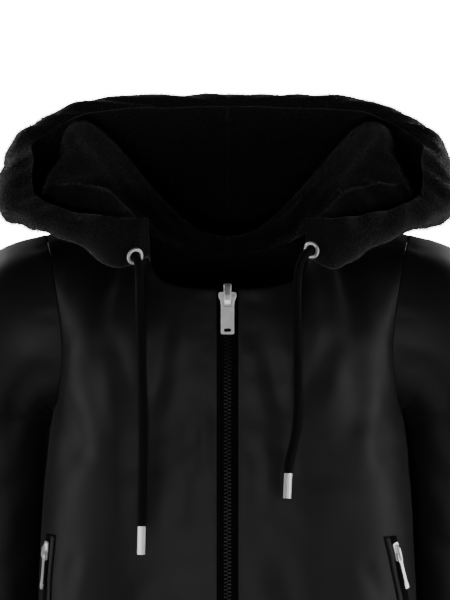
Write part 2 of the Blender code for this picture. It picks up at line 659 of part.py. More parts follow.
# ---------------------------------------------------------------- pockets
POCKET_TOP_Z = -303.0
POCKET_BOTTOM_Z = -462.0
POCKET_STEPS = 8
POCKET_TAPE_WALL = 1.0
POCKET_TAPE_COLUMNS = (-5.0, -1.6, 1.6, 5.0)    # across the opening, away from the side seam
POCKET_WELT_WALL = 2.4
POCKET_WELT_COLUMNS = (5.5, 7.5, 10.5, 12.5)
POCKET_WELT_EDGE = 0.45     # the welt's wall at its edges, as a share of its middle's
POCKET_LIFT = 0.7           # clearance between the panel and what lies on it
POCKET_SLIDER_DROP = 2.0    # slider's top below the opening's
POCKET_SLIDER_REACH = 32.0  # it points from there to the opening's middle, this far down
POCKET_SLIDER_CLEAR = 0.8   # between the tape and the slider
POCKET_SLIDER_HALF = 3.8
POCKET_SLIDER_ENDS = (-24.0, -5.0)
POCKET_SLIDER_WALL = 1.8
POCKET_SLIDER_CORNER = 1.6
POCKET_SLIDER_BEVEL = 0.3
POCKET_BRIDGE_WIDTH = 2.6
POCKET_PULL_AXIS = (-17.2, 3.0)  # the hinge axis: along the slider, and above its back
POCKET_PULL_WALL = 1.2
POCKET_PULL_BEVEL = 0.2
POCKET_EYE = (1.7, -6.8, -0.6)   # the pull's eye: half width, lower end and upper end
POCKET_EYE_CORNER = 0.6

# A pocket's side, and how far its opening's ends are from the side seam, along the cloth.
Pocket = namedtuple("Pocket", "side top_reach bottom_reach")
POCKETS = (Pocket("left", 91.0, 45.0), Pocket("right", 65.0, 56.0))

# Side view of the bridge on a pocket's slider: y up, height above the slider.
POCKET_BRIDGE_SIDE = ((-7.0, -0.4), (-7.6, 1.6), (-11.0, 3.4), (-19.5, 3.6), (-22.4, 2.2), (-23.0, -0.4),
                      (-20.6, -0.4), (-19.8, 1.8), (-18.6, 2.5), (-15.8, 2.5), (-14.6, 1.8), (-14.0, -0.4))
# Right half of a pocket pull's outline, from its top: the eye, the stem and the knob.
POCKET_PULL_HALF = ((2.4, 0.6), (3.0, 0.0), (3.0, -7.0), (1.8, -9.4), (1.8, -30.0), (2.6, -32.0),
                    (2.6, -36.2), (1.8, -37.0))


class PanelSurface:
    """Places on a front panel, found by height and by distance from its side seam."""

    def __init__(self, cloth):
        self.cloth = cloth
        self.levels = cloth.grid[:, -1, 2]

    def at(self, height, reach):
        """Point and direction of the panel's face there."""
        row = np.interp(height, self.levels, np.arange(len(self.levels)))
        low = int(min(row, len(self.levels) - 2))
        share = row - low
        line = (1.0 - share) * self.cloth.grid[low] + share * self.cloth.grid[low + 1]
        facing = (1.0 - share) * self.cloth.normals[low] + share * self.cloth.normals[low + 1]
        steps = np.linalg.norm(np.diff(line, axis=0), axis=1)
        from_side = np.concatenate(([0.0], np.cumsum(steps[::-1])))[::-1]
        spot = np.interp(-reach, -from_side, np.arange(len(line)))
        cell = int(min(spot, len(line) - 2))
        part = spot - cell
        point = (1.0 - part) * line[cell] + part * line[cell + 1]
        normal = (1.0 - part) * facing[cell] + part * facing[cell + 1]
        return point, normal / np.linalg.norm(normal)

    def opening(self, pocket, height):
        """How far a pocket's opening is from the side seam at a height."""
        along = (height - POCKET_TOP_Z) / (POCKET_BOTTOM_Z - POCKET_TOP_Z)
        return pocket.top_reach + along * (pocket.bottom_reach - pocket.top_reach)

    def strip(self, name, pocket, offsets, wall, material):
        """A strip that follows the pocket's opening, at offsets across it, moved out from the panel."""
        grid = np.zeros((POCKET_STEPS + 1, len(offsets), 3))
        normals = np.zeros_like(grid)
        for row, height in enumerate(np.linspace(POCKET_BOTTOM_Z, POCKET_TOP_Z, POCKET_STEPS + 1)):
            for column, offset in enumerate(offsets):
                point, normal = self.at(height, self.opening(pocket, height) + offset)
                grid[row, column] = point + normal * (SHELL_WALL / 2.0 + POCKET_LIFT)
                normals[row, column] = normal
        strip = Cloth(name, grid, material)
        strip.normals = normals
        strip.inside[:] = 0.0
        strip.outside[:] = wall
        return strip


def pocket_pieces(cloth, pocket, materials):
    """Tape and welt of one slanting pocket, as cloth, and its slider and pull as metal."""
    surface = PanelSurface(cloth)
    make_wall(surface.strip("pocket_tape_" + pocket.side, pocket, POCKET_TAPE_COLUMNS, POCKET_TAPE_WALL,
                            materials["tape"]))
    welt = surface.strip("pocket_welt_" + pocket.side, pocket, POCKET_WELT_COLUMNS, POCKET_WELT_WALL,
                         materials["shell"])
    welt.outside[:, (0, -1)] *= POCKET_WELT_EDGE
    make_wall(welt)
    top_point, top_normal = surface.at(POCKET_TOP_Z - POCKET_SLIDER_DROP, pocket.top_reach)
    low = POCKET_TOP_Z - POCKET_SLIDER_REACH
    low_point, _ = surface.at(low, surface.opening(pocket, low + POCKET_SLIDER_DROP))
    up = Vector(top_point - low_point).normalized()
    lift = SHELL_WALL / 2.0 + POCKET_LIFT + POCKET_TAPE_WALL + POCKET_SLIDER_CLEAR
    frame = frame_at(top_point + top_normal * lift, up.cross(Vector(top_normal)), top_normal)
    name = "pocket_slider_" + pocket.side
    body = flat_outline(name, [rounded_box(POCKET_SLIDER_HALF, *POCKET_SLIDER_ENDS, POCKET_SLIDER_CORNER)],
                        POCKET_SLIDER_WALL, POCKET_SLIDER_BEVEL, materials["metal"])
    body.matrix_world = frame @ shift(0.0, 0.0, POCKET_SLIDER_WALL / 2.0)
    bridge = flat_outline(name + "_bridge", [POCKET_BRIDGE_SIDE], POCKET_BRIDGE_WIDTH,
                          POCKET_SLIDER_BEVEL, materials["metal"])
    bridge.matrix_world = frame @ shift(0.0, 0.0, POCKET_SLIDER_WALL) @ ON_EDGE
    bake_places([body, bridge])
    joined(body, [bridge])
    eye = rounded_box(*POCKET_EYE, POCKET_EYE_CORNER)[::-1]
    outline = both_halves(POCKET_PULL_HALF)[::-1]
    pull = flat_outline("pocket_pull_" + pocket.side, [outline, eye], POCKET_PULL_WALL,
                        POCKET_PULL_BEVEL, materials["metal"])
    pull.matrix_world = frame @ shift(0.0, *POCKET_PULL_AXIS)


# ---------------------------------------------------------------- eyelets and drawcord
EYELET_RADIUS = 9.0
EYELET_RIM = 2.1
EYELET_FLATNESS = 0.6       # the rim's height as a share of its width
EYELET_LIFT = 0.4           # clearance between the hood's face and the eyelet
EYELET_SEGMENTS = (20, 6)   # round the eyelet, and round its rim
CORD_DIAMETER = 8.8
CORD_ROUNDING = 2           # bevel resolution of the cord's section
CORD_STRAIGHT = 2.6         # how far the cord runs straight out of its eyelet
AGLET_DIAMETER = 8.4
AGLET_ROUNDING = 4

# A free end of the drawcord: its eyelet's place in the hood's rows and columns, then the points
# that it hangs through and its aglet's length.
CordEnd = namedtuple("CordEnd", "side row column route aglet_length")
CORD_ENDS = (
    CordEnd("right", 13.75, 2.35, ((-89.6, -122.4, -25.0), (-88.1, -126.0, -37.0), (-87.5, -127.0, -64.0),
                                  (-86.0, -127.4, -114.0), (-84.5, -128.4, -190.0),
                                  (-84.6, -129.4, -240.0), (-85.5, -130.2, -289.0)), 28.0),
    CordEnd("left", 13.85, 1.1, ((78.0, -120.5, -18.5), (72.6, -125.0, -28.0), (69.8, -127.0, -42.0),
                                (69.4, -127.6, -78.0), (70.4, -129.0, -150.0),
                                (67.4, -131.0, -200.0), (61.4, -132.4, -225.0),
                                (60.4, -133.0, -236.0)), 25.0),
)


def cloth_point(cloth, row, column):
    """A point of a piece's outer face and the way it faces, at a place between its rows and columns."""
    low = np.array((int(row), int(column)))
    share = np.array((row, column)) - low
    point = np.zeros(3)
    normal = np.zeros(3)
    for down in (0, 1):
        for over in (0, 1):
            weight = abs(1.0 - down - share[0]) * abs(1.0 - over - share[1])
            spot = (low[0] + down, low[1] + over)
            normal += weight * cloth.normals[spot]
            point += weight * (cloth.grid[spot] + cloth.normals[spot] * cloth.outside[spot])
    return point, normal / np.linalg.norm(normal)


def build_cords(cloths, materials):
    """Eyelets, the two free cord ends and their aglets."""
    for end in CORD_ENDS:
        point, normal = cloth_point(cloths["hood_" + end.side], end.row, end.column)
        height = EYELET_RIM * EYELET_FLATNESS
        bpy.ops.mesh.primitive_torus_add(major_segments=EYELET_SEGMENTS[0],
                                         minor_segments=EYELET_SEGMENTS[1],
                                         major_radius=(EYELET_RADIUS - EYELET_RIM) * MM,
                                         minor_radius=EYELET_RIM * MM)
        ring = bpy.context.object
        mesh = ring.data
        bpy.data.objects.remove(ring)
        mesh.transform(Matrix.Diagonal((1.0, 1.0, EYELET_FLATNESS, 1.0)))
        mesh.shade_smooth()
        eyelet = add_object("eyelet_" + end.side, mesh, materials["metal"])
        eyelet.matrix_world = frame_at(point + normal * (EYELET_LIFT + height), (1.0, 0.0, 0.0), normal)
        start = point + normal * (EYELET_LIFT + SEAM_GAP)
        route = np.array((start, start + normal * CORD_STRAIGHT) + end.route)
        route = cubic_through(route, [1] + [2] * (len(route) - 2))
        add_tube("cord_" + end.side, route, CORD_DIAMETER, CORD_ROUNDING, materials["cord"])
        way = route[-1] - route[-2]
        way /= np.linalg.norm(way)
        start = route[-1] + way * SEAM_GAP
        steps = np.array((0.0, 0.5, 1.0))[:, None] * end.aglet_length
        add_tube("aglet_" + end.side, start + way * steps, AGLET_DIAMETER, AGLET_ROUNDING,
                 materials["metal"])


def add_tube(name, points, diameter, rounding, material):
    """A round tube along points, with filled ends."""
    curve = bpy.data.curves.new(name, "CURVE")
    curve.dimensions = "3D"
    curve.bevel_depth = diameter / 2.0 * MM
    curve.bevel_resolution = rounding
    curve.use_fill_caps = True
    line = curve.splines.new("POLY")
    line.points.add(len(points) - 1)
    for point, place_mm in zip(line.points, points):
        point.co = (*(place_mm * MM), 1.0)
    tube = bpy.data.objects.new(name, curve)
    bpy.data.collections[COLLECTION].objects.link(tube)
    curve.materials.append(material)
    return tube


# ---------------------------------------------------------------- the whole jacket
def thin_hood(hood):
    """Gives the hood its wall, thinner towards its neck seam and its front end."""
    reach = np.linalg.norm(np.diff(hood.grid, axis=0), axis=2).cumsum(axis=0)
    reach = np.concatenate((np.zeros((1, reach.shape[1])), reach))
    seam_share = np.minimum(reach / PLUSH_SEAM_REACH, 1.0)
    end_share = np.minimum(np.arange(reach.shape[1]) / PLUSH_END_CELLS, 1.0)
    wall = np.minimum(PLUSH_SEAM_WALL + (PLUSH_WALL - PLUSH_SEAM_WALL) * seam_share,
                      PLUSH_END_WALL + (PLUSH_WALL - PLUSH_END_WALL) * end_share)
    hood.outside = wall / 2.0
    hood.inside = wall / 2.0


def shell_and_hood(materials):
    """Fronts, back, sleeves and hood, whose seams share their points; a dictionary by name."""
    front, front_neck = body_half(front=True)
    back_half, back_neck = body_half(front=False)
    back = np.concatenate((mirrored(back_half)[:, :0:-1], back_half), axis=1)
    underarm = len(front) - ARMHOLE_ROWS - 1
    armhole = np.concatenate((front[underarm:, -1], back_half[underarm + 1:-1, -1][::-1]))
    sleeve = sleeve_grid(armhole)
    neck_line = np.concatenate((front_neck[COLLAR_CELLS:], back_neck[::-1][1:]))
    splits = [HOOD_SPLITS_SIDE] * SIDE_NECK_CELLS + [HOOD_SPLITS_BACK] * BACK_NECK_CELLS
    hood = hood_grid(neck_line, splits)
    shell, plush = materials["shell"], materials["plush"]
    cloths = {cloth.name: cloth for cloth in (
        Cloth("front_left", front, shell),
        Cloth("front_right", mirrored(front), shell, flip=True),
        Cloth("back", back, shell, flip=True),
        Cloth("sleeve_left", sleeve, shell, closed=True, flip=True),
        Cloth("sleeve_right", mirrored(sleeve), shell, closed=True),
        Cloth("hood_left", hood, plush),
        Cloth("hood_right", mirrored(hood), plush, flip=True),
    )}
    share_seam_normals(cloths.values())
    for side in ("left", "right"):
        hood_panel = cloths["hood_" + side]
        thin_hood(hood_panel)
        hood_panel.normals[0] = split_cells(hood_panel.normals[0, whole_cells(splits)], splits)
        hood_panel.grid[0, :, 2] += SEAM_GAP
        ease_underarm(cloths["front_" + side], cloths["back"], cloths["sleeve_" + side], side, underarm)
        square_seam(cloths["front_" + side], 0)
        square_seam(cloths["sleeve_" + side], -1)
    square_seam(cloths["back"], 0)
    return cloths


def rib_bands(cloths, knit):
    """The hem band and the two cuffs."""
    fronts = cloths["front_left"].grid[0], cloths["front_right"].grid[0]
    hem_line = np.concatenate((fronts[0], cloths["back"].grid[0, ::-1][1:], fronts[1][::-1][1:]))
    bands = [rib_band("hem_rib", hem_line, 2 * RIBS_PER_HEM_CELL, HEM_LENGTH, HEM_DRAW, (0.0, 0.0),
                      False, knit)]
    for side, sign in (("left", 1.0), ("right", -1.0)):
        ring = cloths["sleeve_" + side].grid[-1]
        centre = (SLEEVE_ROWS[-1].x * sign, SLEEVE_ROWS[-1].y)
        cuff = rib_band("cuff_" + side, ring, 2 * RIBS_PER_CUFF_CELL, CUFF_LENGTH, CUFF_DRAW, centre,
                        True, knit)
        cuff.normals *= sign
        bands.append(cuff)
    return bands


def front_tapes(cloths, material):
    """The front zip's two tapes, from the neckline to the hem band's lower edge."""
    tapes = []
    for side, sign in (("left", 1.0), ("right", -1.0)):
        panel = cloths["front_" + side]
        hem_end = panel.grid[:1, 0] + np.array((0.0, HEM_DRAW, -HEM_LENGTH))
        edge = np.concatenate((hem_end, panel.grid[:, 0]))
        normals = np.concatenate((panel.normals[:1, 0], panel.normals[:, 0]))
        tapes.append(zip_tape("zip_tape_" + side, edge, normals, sign, material))
    return tapes


def main():
    """Makes the jacket."""
    clear_scene()
    collection = bpy.data.collections.new(COLLECTION)
    bpy.context.scene.collection.children.link(collection)
    materials = {
        "shell": make_material("black_satin_nylon", (0.012, 0.012, 0.013), 0.32),
        "plush": make_material("black_plush", (0.008, 0.008, 0.009), 0.85),
        "knit": make_material("black_rib_knit", (0.010, 0.010, 0.011), 0.9),
        "tape": make_material("black_zip_tape", (0.006, 0.006, 0.007), 0.8),
        "cord": make_material("black_cord", (0.009, 0.009, 0.010), 0.8),
        "metal": make_material("polished_nickel", (0.78, 0.78, 0.80), 0.18, metallic=1.0),
    }
    cloths = shell_and_hood(materials)
    bands = rib_bands(cloths, materials["knit"])
    tapes = front_tapes(cloths, materials["tape"])
    for cloth in list(cloths.values()) + bands + tapes:
        make_wall(cloth)
    for pocket in POCKETS:
        pocket_pieces(cloths["front_" + pocket.side], pocket, materials)
    front_zip_slider(materials["metal"])
    build_cords(cloths, materials)


main()
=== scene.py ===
"""Looks of a hooded bomber jacket: satin shell, plush hood, rib knit, zips, drawcord and metal.

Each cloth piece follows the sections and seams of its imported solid, read at finer steps, and adds
the folds, pile, ribs and sewing. Sizes are millimetres until a mesh is made, in the frame's axes:
+Z up, the front faces -Y, +X is the wearer's left.
"""

import logging
import math
from dataclasses import dataclass, field
from enum import Enum

import bpy
import numpy as np
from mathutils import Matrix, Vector


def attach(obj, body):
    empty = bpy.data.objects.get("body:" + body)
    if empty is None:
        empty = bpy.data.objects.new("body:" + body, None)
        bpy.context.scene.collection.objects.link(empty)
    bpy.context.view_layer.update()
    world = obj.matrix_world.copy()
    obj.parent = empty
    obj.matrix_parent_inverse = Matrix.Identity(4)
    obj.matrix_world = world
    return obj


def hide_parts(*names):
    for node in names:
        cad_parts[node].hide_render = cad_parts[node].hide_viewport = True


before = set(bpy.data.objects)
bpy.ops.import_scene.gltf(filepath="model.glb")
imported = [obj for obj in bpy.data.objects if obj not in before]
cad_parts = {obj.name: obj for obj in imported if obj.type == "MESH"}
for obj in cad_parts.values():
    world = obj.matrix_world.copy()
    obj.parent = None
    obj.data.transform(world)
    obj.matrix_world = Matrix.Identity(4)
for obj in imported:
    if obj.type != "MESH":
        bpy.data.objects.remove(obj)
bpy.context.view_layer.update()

log = logging.getLogger("jacket")
Array = np.ndarray
Point = tuple[float, float, float]
Table = tuple[tuple[float, ...], ...]
Piece = bpy.types.Object
Material = bpy.types.Material
Wardrobe = dict[str, Material]
Tree = bpy.types.NodeTree
Socket = bpy.types.NodeSocket
MM = 0.001
JACKET_BODY = "jacket"
CURVE_CUTS = 40
METAL_NODES = ("zip_slider", "zip_pull", "pocket_slider", "pocket_pull", "eyelet", "aglet")


class Side(Enum):
    """The wearer's left or right."""

    LEFT = "left"
    RIGHT = "right"

    @property
    def sign(self) -> float:
        """1 on the wearer's left, where x is above 0, and -1 on the right."""
        return 1.0 if self is Side.LEFT else -1.0


class Border(Enum):
    """A border of a cloth piece's grid of points."""

    BOTTOM = "first row"
    TOP = "last row"
    INNER = "first column"
    OUTER = "last column"


class Slot(Enum):
    """The record's material slots."""

    SHELL = "satin_shell"
    PLUSH = "hood_plush"
    KNIT = "rib_knit"
    TAPE = "zip_tape"
    CORD = "drawcord"
    METAL = "nickel"


# ---------------------------------------------------------------- curves and grids
def cubic_bends(points: Array, steps: Array) -> Array:
    """Second derivatives of the natural cubic through points.

    Args:
        points: the points, one to a row.
        steps: the parameter's step between neighbours.
    Returns:
        One row for each point.
    """
    last = len(points) - 1
    system = np.eye(last + 1)
    right = np.zeros_like(points)
    slopes = np.diff(points, axis=0) / steps[:, None]
    for i in range(1, last):
        system[i, i - 1:i + 2] = steps[i - 1], 2.0 * (steps[i - 1] + steps[i]), steps[i]
        right[i] = 6.0 * (slopes[i] - slopes[i - 1])
    return np.linalg.solve(system, right)


def read_cubic(points: Array, steps: Array, wanted: Array) -> Array:
    """Reads the natural cubic through points at places between them.

    Args:
        points: the points, one to a row.
        steps: the parameter's step between neighbours.
        wanted: places, where a whole number is a point itself.
    Returns:
        One row for each place.
    """
    bends = cubic_bends(points, steps)
    cell = np.minimum(wanted.astype(int), len(points) - 2)
    after = (wanted - cell)[:, None]
    before = 1.0 - after
    return (before * points[cell] + after * points[cell + 1]
            + steps[cell][:, None] ** 2 / 6.0 * ((before ** 3 - before) * bends[cell]
                                                 + (after ** 3 - after) * bends[cell + 1]))


def shares(per_step: tuple[int, ...]) -> Array:
    """Places that cut each step between points into that many equal parts."""
    cuts = [i + np.arange(n) / n for i, n in enumerate(per_step)]
    return np.concatenate(cuts + [[float(len(per_step))]])


def cubic_through(points: Array, wanted: Array) -> Array:
    """Smooth curve through points in space, read at places between them."""
    steps = np.sqrt(np.linalg.norm(np.diff(points, axis=0), axis=1))
    return read_cubic(points, steps, wanted)


def rows_at(table: Array, wanted: Array) -> Array:
    """Rows of numbers, or of points, blended by a cubic between a table's rows.

    Args:
        table: rows of any shape.
        wanted: places, where a whole number is a row itself.
    Returns:
        The blended rows.
    """
    rows = np.asarray(table, float)
    flat = rows.reshape(len(rows), -1)
    result = read_cubic(flat, np.ones(len(rows) - 1), wanted)
    return result.reshape((len(wanted),) + rows.shape[1:])


def row_lengths(grid: Array) -> Array:
    """Each point's distance along its row of a grid, from the row's first point."""
    lengths = np.linalg.norm(np.diff(grid, axis=1), axis=2).cumsum(axis=1)
    return np.concatenate((np.zeros((len(grid), 1)), lengths), axis=1)


def lengths_along(line: Array) -> Array:
    """Each point's distance along a polyline, from its first point."""
    return row_lengths(line[None])[0]


def read_along(values: Array, along: Array, places: Array) -> Array:
    """Points or directions read between those at known distances.

    Args:
        values: one row for each known distance.
        along: the known distances.
        places: the distances wanted.
    Returns:
        One row for each place.
    """
    return np.stack([np.interp(places, along, values[:, axis]) for axis in range(3)], axis=-1)


def even_steps(curve: Array, count: int) -> Array:
    """The polyline read again at count + 1 even steps of its length."""
    along = lengths_along(curve)
    return read_along(curve, along, np.linspace(0.0, along[-1], count + 1))


def smooth_curve(points: Table, count: int) -> Array:
    """Smooth curve through points, read at count + 1 even steps of its length."""
    rows = np.asarray(points, float)
    return even_steps(cubic_through(rows, shares((CURVE_CUTS,) * (len(rows) - 1))), count)


def split_cells(line: Array, splits: list[int]) -> Array:
    """A polyline with each of its cells cut into equal parts, splits of them in each."""
    parts = [line[i] + (line[i + 1] - line[i]) * np.arange(n)[:, None] / n
             for i, n in enumerate(splits)]
    return np.concatenate(parts + [line[-1:]])


def mirrored(grid: Array) -> Array:
    """The grid's twin on the other side of the jacket."""
    return grid * np.array((-1.0, 1.0, 1.0))


def unit(vectors: Array) -> Array:
    """The vectors at length 1."""
    return vectors / np.maximum(np.linalg.norm(vectors, axis=-1, keepdims=True), 1e-9)


def smooth_step(share: Array) -> Array:
    """A share from 0 to 1, eased at both ends and held there."""
    share = np.clip(share, 0.0, 1.0)
    return share * share * (3.0 - 2.0 * share)


def grid_normals(grid: Array, closed: bool) -> Array:
    """Unit normals of a grid of points; closed joins the last column to the first."""
    if closed:
        across = np.roll(grid, -1, axis=1) - np.roll(grid, 1, axis=1)
    else:
        across = np.gradient(grid, axis=1)
    return unit(np.cross(across, np.gradient(grid, axis=0)))


def blended_patch(low: Array, high: Array, inner: Array, outer: Array) -> Array:
    """Surface between four edges.

    Args:
        low: the lowest row.
        high: the highest row.
        inner: the column where rows start.
        outer: the column where rows end.
    Returns:
        The grid of points.
    """
    up = np.linspace(0.0, 1.0, len(inner))[:, None, None] ** 2
    out = np.linspace(0.0, 1.0, len(low))[None, :, None] ** 2
    rows = (1.0 - up) * low[None] + up * high[None]
    columns = (1.0 - out) * inner[:, None] + out * outer[:, None]
    corners = ((1.0 - up) * ((1.0 - out) * low[0] + out * low[-1])
               + up * ((1.0 - out) * high[0] + out * high[-1]))
    return rows + columns - corners


# ---------------------------------------------------------------- the jacket's form
@dataclass(frozen=True)
class BodyForm:
    """Sections and seams of the body, for the wearer's left half."""

    roundness: float = 2.6
    gap: float = 0.3
    arc_points: int = 181
    zip_edge: float = 11.0
    rows_per_step: int = 2
    armhole_rows: int = 10
    collar_cells: int = 4
    side_cells: int = 3
    back_cells: int = 6
    shoulder_cells: int = 4
    # Each level section: height, half width, and depth in front of and behind the side seam.
    rows: Table = ((-540, 168, 108, 104), (-524, 186, 122, 117), (-470, 196, 130, 122),
                   (-400, 196, 131, 119), (-320, 193, 130, 114), (-245, 188, 129, 111),
                   (-178, 180, 125, 110))
    front_edge: Table = ((11, -125, -178), (11, -122.5, -120), (11, -113, -53))
    centre_back: Table = ((0, 110, -178), (0, 104, -100), (0, 84, -45), (0, 62, -14))
    front_neckline: Table = ((11, -113, -53), (32, -112, -52.5), (55, -107, -49), (69, -99, -42),
                             (78, -91, -27))
    side_neckline: Table = ((78, -91, -27), (86, -64, -8), (90, -38, 6), (91, -12, 14))
    back_neckline: Table = ((91, -12, 14), (84, 22, 6), (52, 53, -9), (0, 62, -14))
    shoulder_seam: Table = ((91, -12, 14), (140, -3, 11), (190, 2, 3))
    armhole_front: Table = ((180, 0, -178), (174, -40, -163), (168, -62, -120), (172, -64, -70),
                            (181, -44, -20), (190, 2, 3))
    armhole_back: Table = ((180, 0, -178), (175, 42, -163), (171, 66, -120), (174, 70, -68),
                           (182, 47, -19), (190, 2, 3))

    def section(self, half_width: float, start: Array, end: Array, cells: int) -> Array:
        """Part of a superellipse about the body's axis.

        Args:
            half_width: where the superellipse meets the side.
            start: the first point.
            end: the last point; the height is shared out between the two.
            cells: how many even steps to read.
        Returns:
            The points.
        """
        angles = np.linspace(0.0, math.pi / 2.0, self.arc_points)
        power = 2.0 / self.roundness
        line = np.stack([half_width * np.sin(angles) ** power, start[1] * np.cos(angles) ** power,
                         np.zeros_like(angles)], axis=1)
        first, last = np.searchsorted(line[:, 0], (start[0] + self.gap, end[0] - self.gap))
        level = np.array((1.0, 1.0, 0.0))
        line = np.concatenate((start[None] * level, line[first:last], end[None] * level))
        line = even_steps(line, cells)
        line[:, 2] = np.linspace(start[2], end[2], cells + 1)
        return line

    def width_through(self, start: Array, end: Array) -> float:
        """Half width of the superellipse as deep as the start that passes the end."""
        share = min(abs(end[1] / start[1]), 1.0)
        return end[0] / (1.0 - share ** self.roundness) ** (1.0 / self.roundness)

    def half(self, front: bool) -> tuple[Array, Array]:
        """Grid of the left front, or of the left half of the back.

        Args:
            front: the front panel, otherwise the back.
        Returns:
            The grid and the neckline.
        """
        neck_cells = self.collar_cells + self.side_cells if front else self.back_cells
        cells = neck_cells + self.shoulder_cells
        lower = []
        for z, width, ahead, behind in rows_at(self.rows, shares((self.rows_per_step,) * 6)):
            start = np.array((self.zip_edge, -ahead, z) if front else (0.0, behind, z))
            lower.append(self.section(width, start, np.array((width, 0.0, z)), cells))
        if front:
            collar = smooth_curve(self.front_neckline, self.collar_cells)[:-1]
            neckline = np.concatenate((collar, smooth_curve(self.side_neckline, self.side_cells)))
            inner = smooth_curve(self.front_edge, self.armhole_rows)
            outer = smooth_curve(self.armhole_front, self.armhole_rows)
        else:
            neckline = smooth_curve(self.back_neckline, self.back_cells)[::-1]
            inner = smooth_curve(self.centre_back, self.armhole_rows)
            outer = smooth_curve(self.armhole_back, self.armhole_rows)
        shoulder = smooth_curve(self.shoulder_seam, self.shoulder_cells)
        top = np.concatenate((neckline, shoulder[1:]))
        patch = blended_patch(lower[-1], top, inner, outer)
        chest = np.stack([self.section(self.width_through(start, end), start, end, cells)
                          for start, end in zip(inner, outer)])
        chest[-1] = top
        share = smooth_step(np.linspace(0.0, 1.0, self.armhole_rows + 1))[:, None, None]
        upper = (1.0 - share) * chest + share * patch
        return np.concatenate((lower, upper[1:])), neckline


@dataclass(frozen=True)
class SleeveForm:
    """Rings of the wearer's left sleeve."""

    clearance: float = 4.0
    fan_rows: int = 5
    rows_per_step: int = 2
    # Each ring of the sleeve's head: lean from the armhole's plane in degrees, the inner point's x
    # and z, the distance across, and the middle's y with the half depth.
    head: Table = ((0, 180, -178, 181, 2, 71), (18, 184.5, -179.5, 175, 4, 73),
                   (36, 185, -182.5, 163, 10, 74), (54, 184, -186, 152, 19, 74),
                   (72, 180, -191, 143, 30, 72), (90, 177, -198, 138, 42, 70))
    # Each level ring: height, middle x and y, half sizes.
    rings: Table = ((-198, 247, 42, 69, 70), (-290, 249, 48, 66, 68), (-380, 250, 48, 63, 65),
                    (-465, 251, 42, 60, 61), (-530, 251, 32, 54, 55), (-552, 250, 28, 37, 39))

    def body_side(self, y: Array, z: Array, body: BodyForm) -> Array:
        """How far out the body's wall is at places given by depth and height."""
        table = np.asarray(body.rows, float)
        level = np.maximum(z, table[0, 0])
        width, front, back = (np.interp(level, table[:, 0], table[:, i]) for i in (1, 2, 3))
        share = np.clip(np.abs(y) / np.where(y < 0.0, front, back), 0.0, 1.0)
        return width * (1.0 - share ** body.roundness) ** (1.0 / body.roundness)

    def beside(self, ring: Array, body: BodyForm) -> Array:
        """The ring with points that would reach the body's side moved out, just clear of it."""
        side = self.body_side(ring[:, 1], ring[:, 2], body)
        ring[:, 0] = np.maximum(ring[:, 0], side + self.clearance)
        return ring

    def grid(self, armhole: Array, body: BodyForm) -> Array:
        """Rings from the armhole, over the sleeve's head and down to the cuff seam.

        Args:
            armhole: the armhole's points, once round from the underarm by the front.
            body: the body beside it.
        Returns:
            The grid, a ring to each row.
        """
        count = len(armhole)
        turn = np.arange(count) / count * 2.0 * math.pi
        _, _, inner_z, across, middle_y, half_y = self.head[0]
        own_reach = (armhole[:, 2] - inner_z) / across
        own_y = (armhole[:, 1] - middle_y) / half_y
        rings = [armhole]
        for step, (angle, x, z, across, middle_y, half_y) in enumerate(self.head[1:], start=1):
            blend = step / self.fan_rows
            reach = ((1.0 - blend) * own_reach + blend * (1.0 - np.cos(turn)) / 2.0) * across
            side = (1.0 - blend) * own_y - blend * np.sin(turn)
            lean = math.radians(angle)
            ring = np.stack([x + reach * math.sin(lean), middle_y + side * half_y,
                             z + reach * math.cos(lean)], axis=1)
            rings.append(self.beside(ring, body))
        for z, x, y, half_x, half_y in rows_at(self.rings, shares((self.rows_per_step,) * 5))[1:]:
            ring = np.stack([x - half_x * np.cos(turn), y - half_y * np.sin(turn),
                             np.full(count, z)], axis=1)
            rings.append(self.beside(ring, body))
        return np.stack(rings)


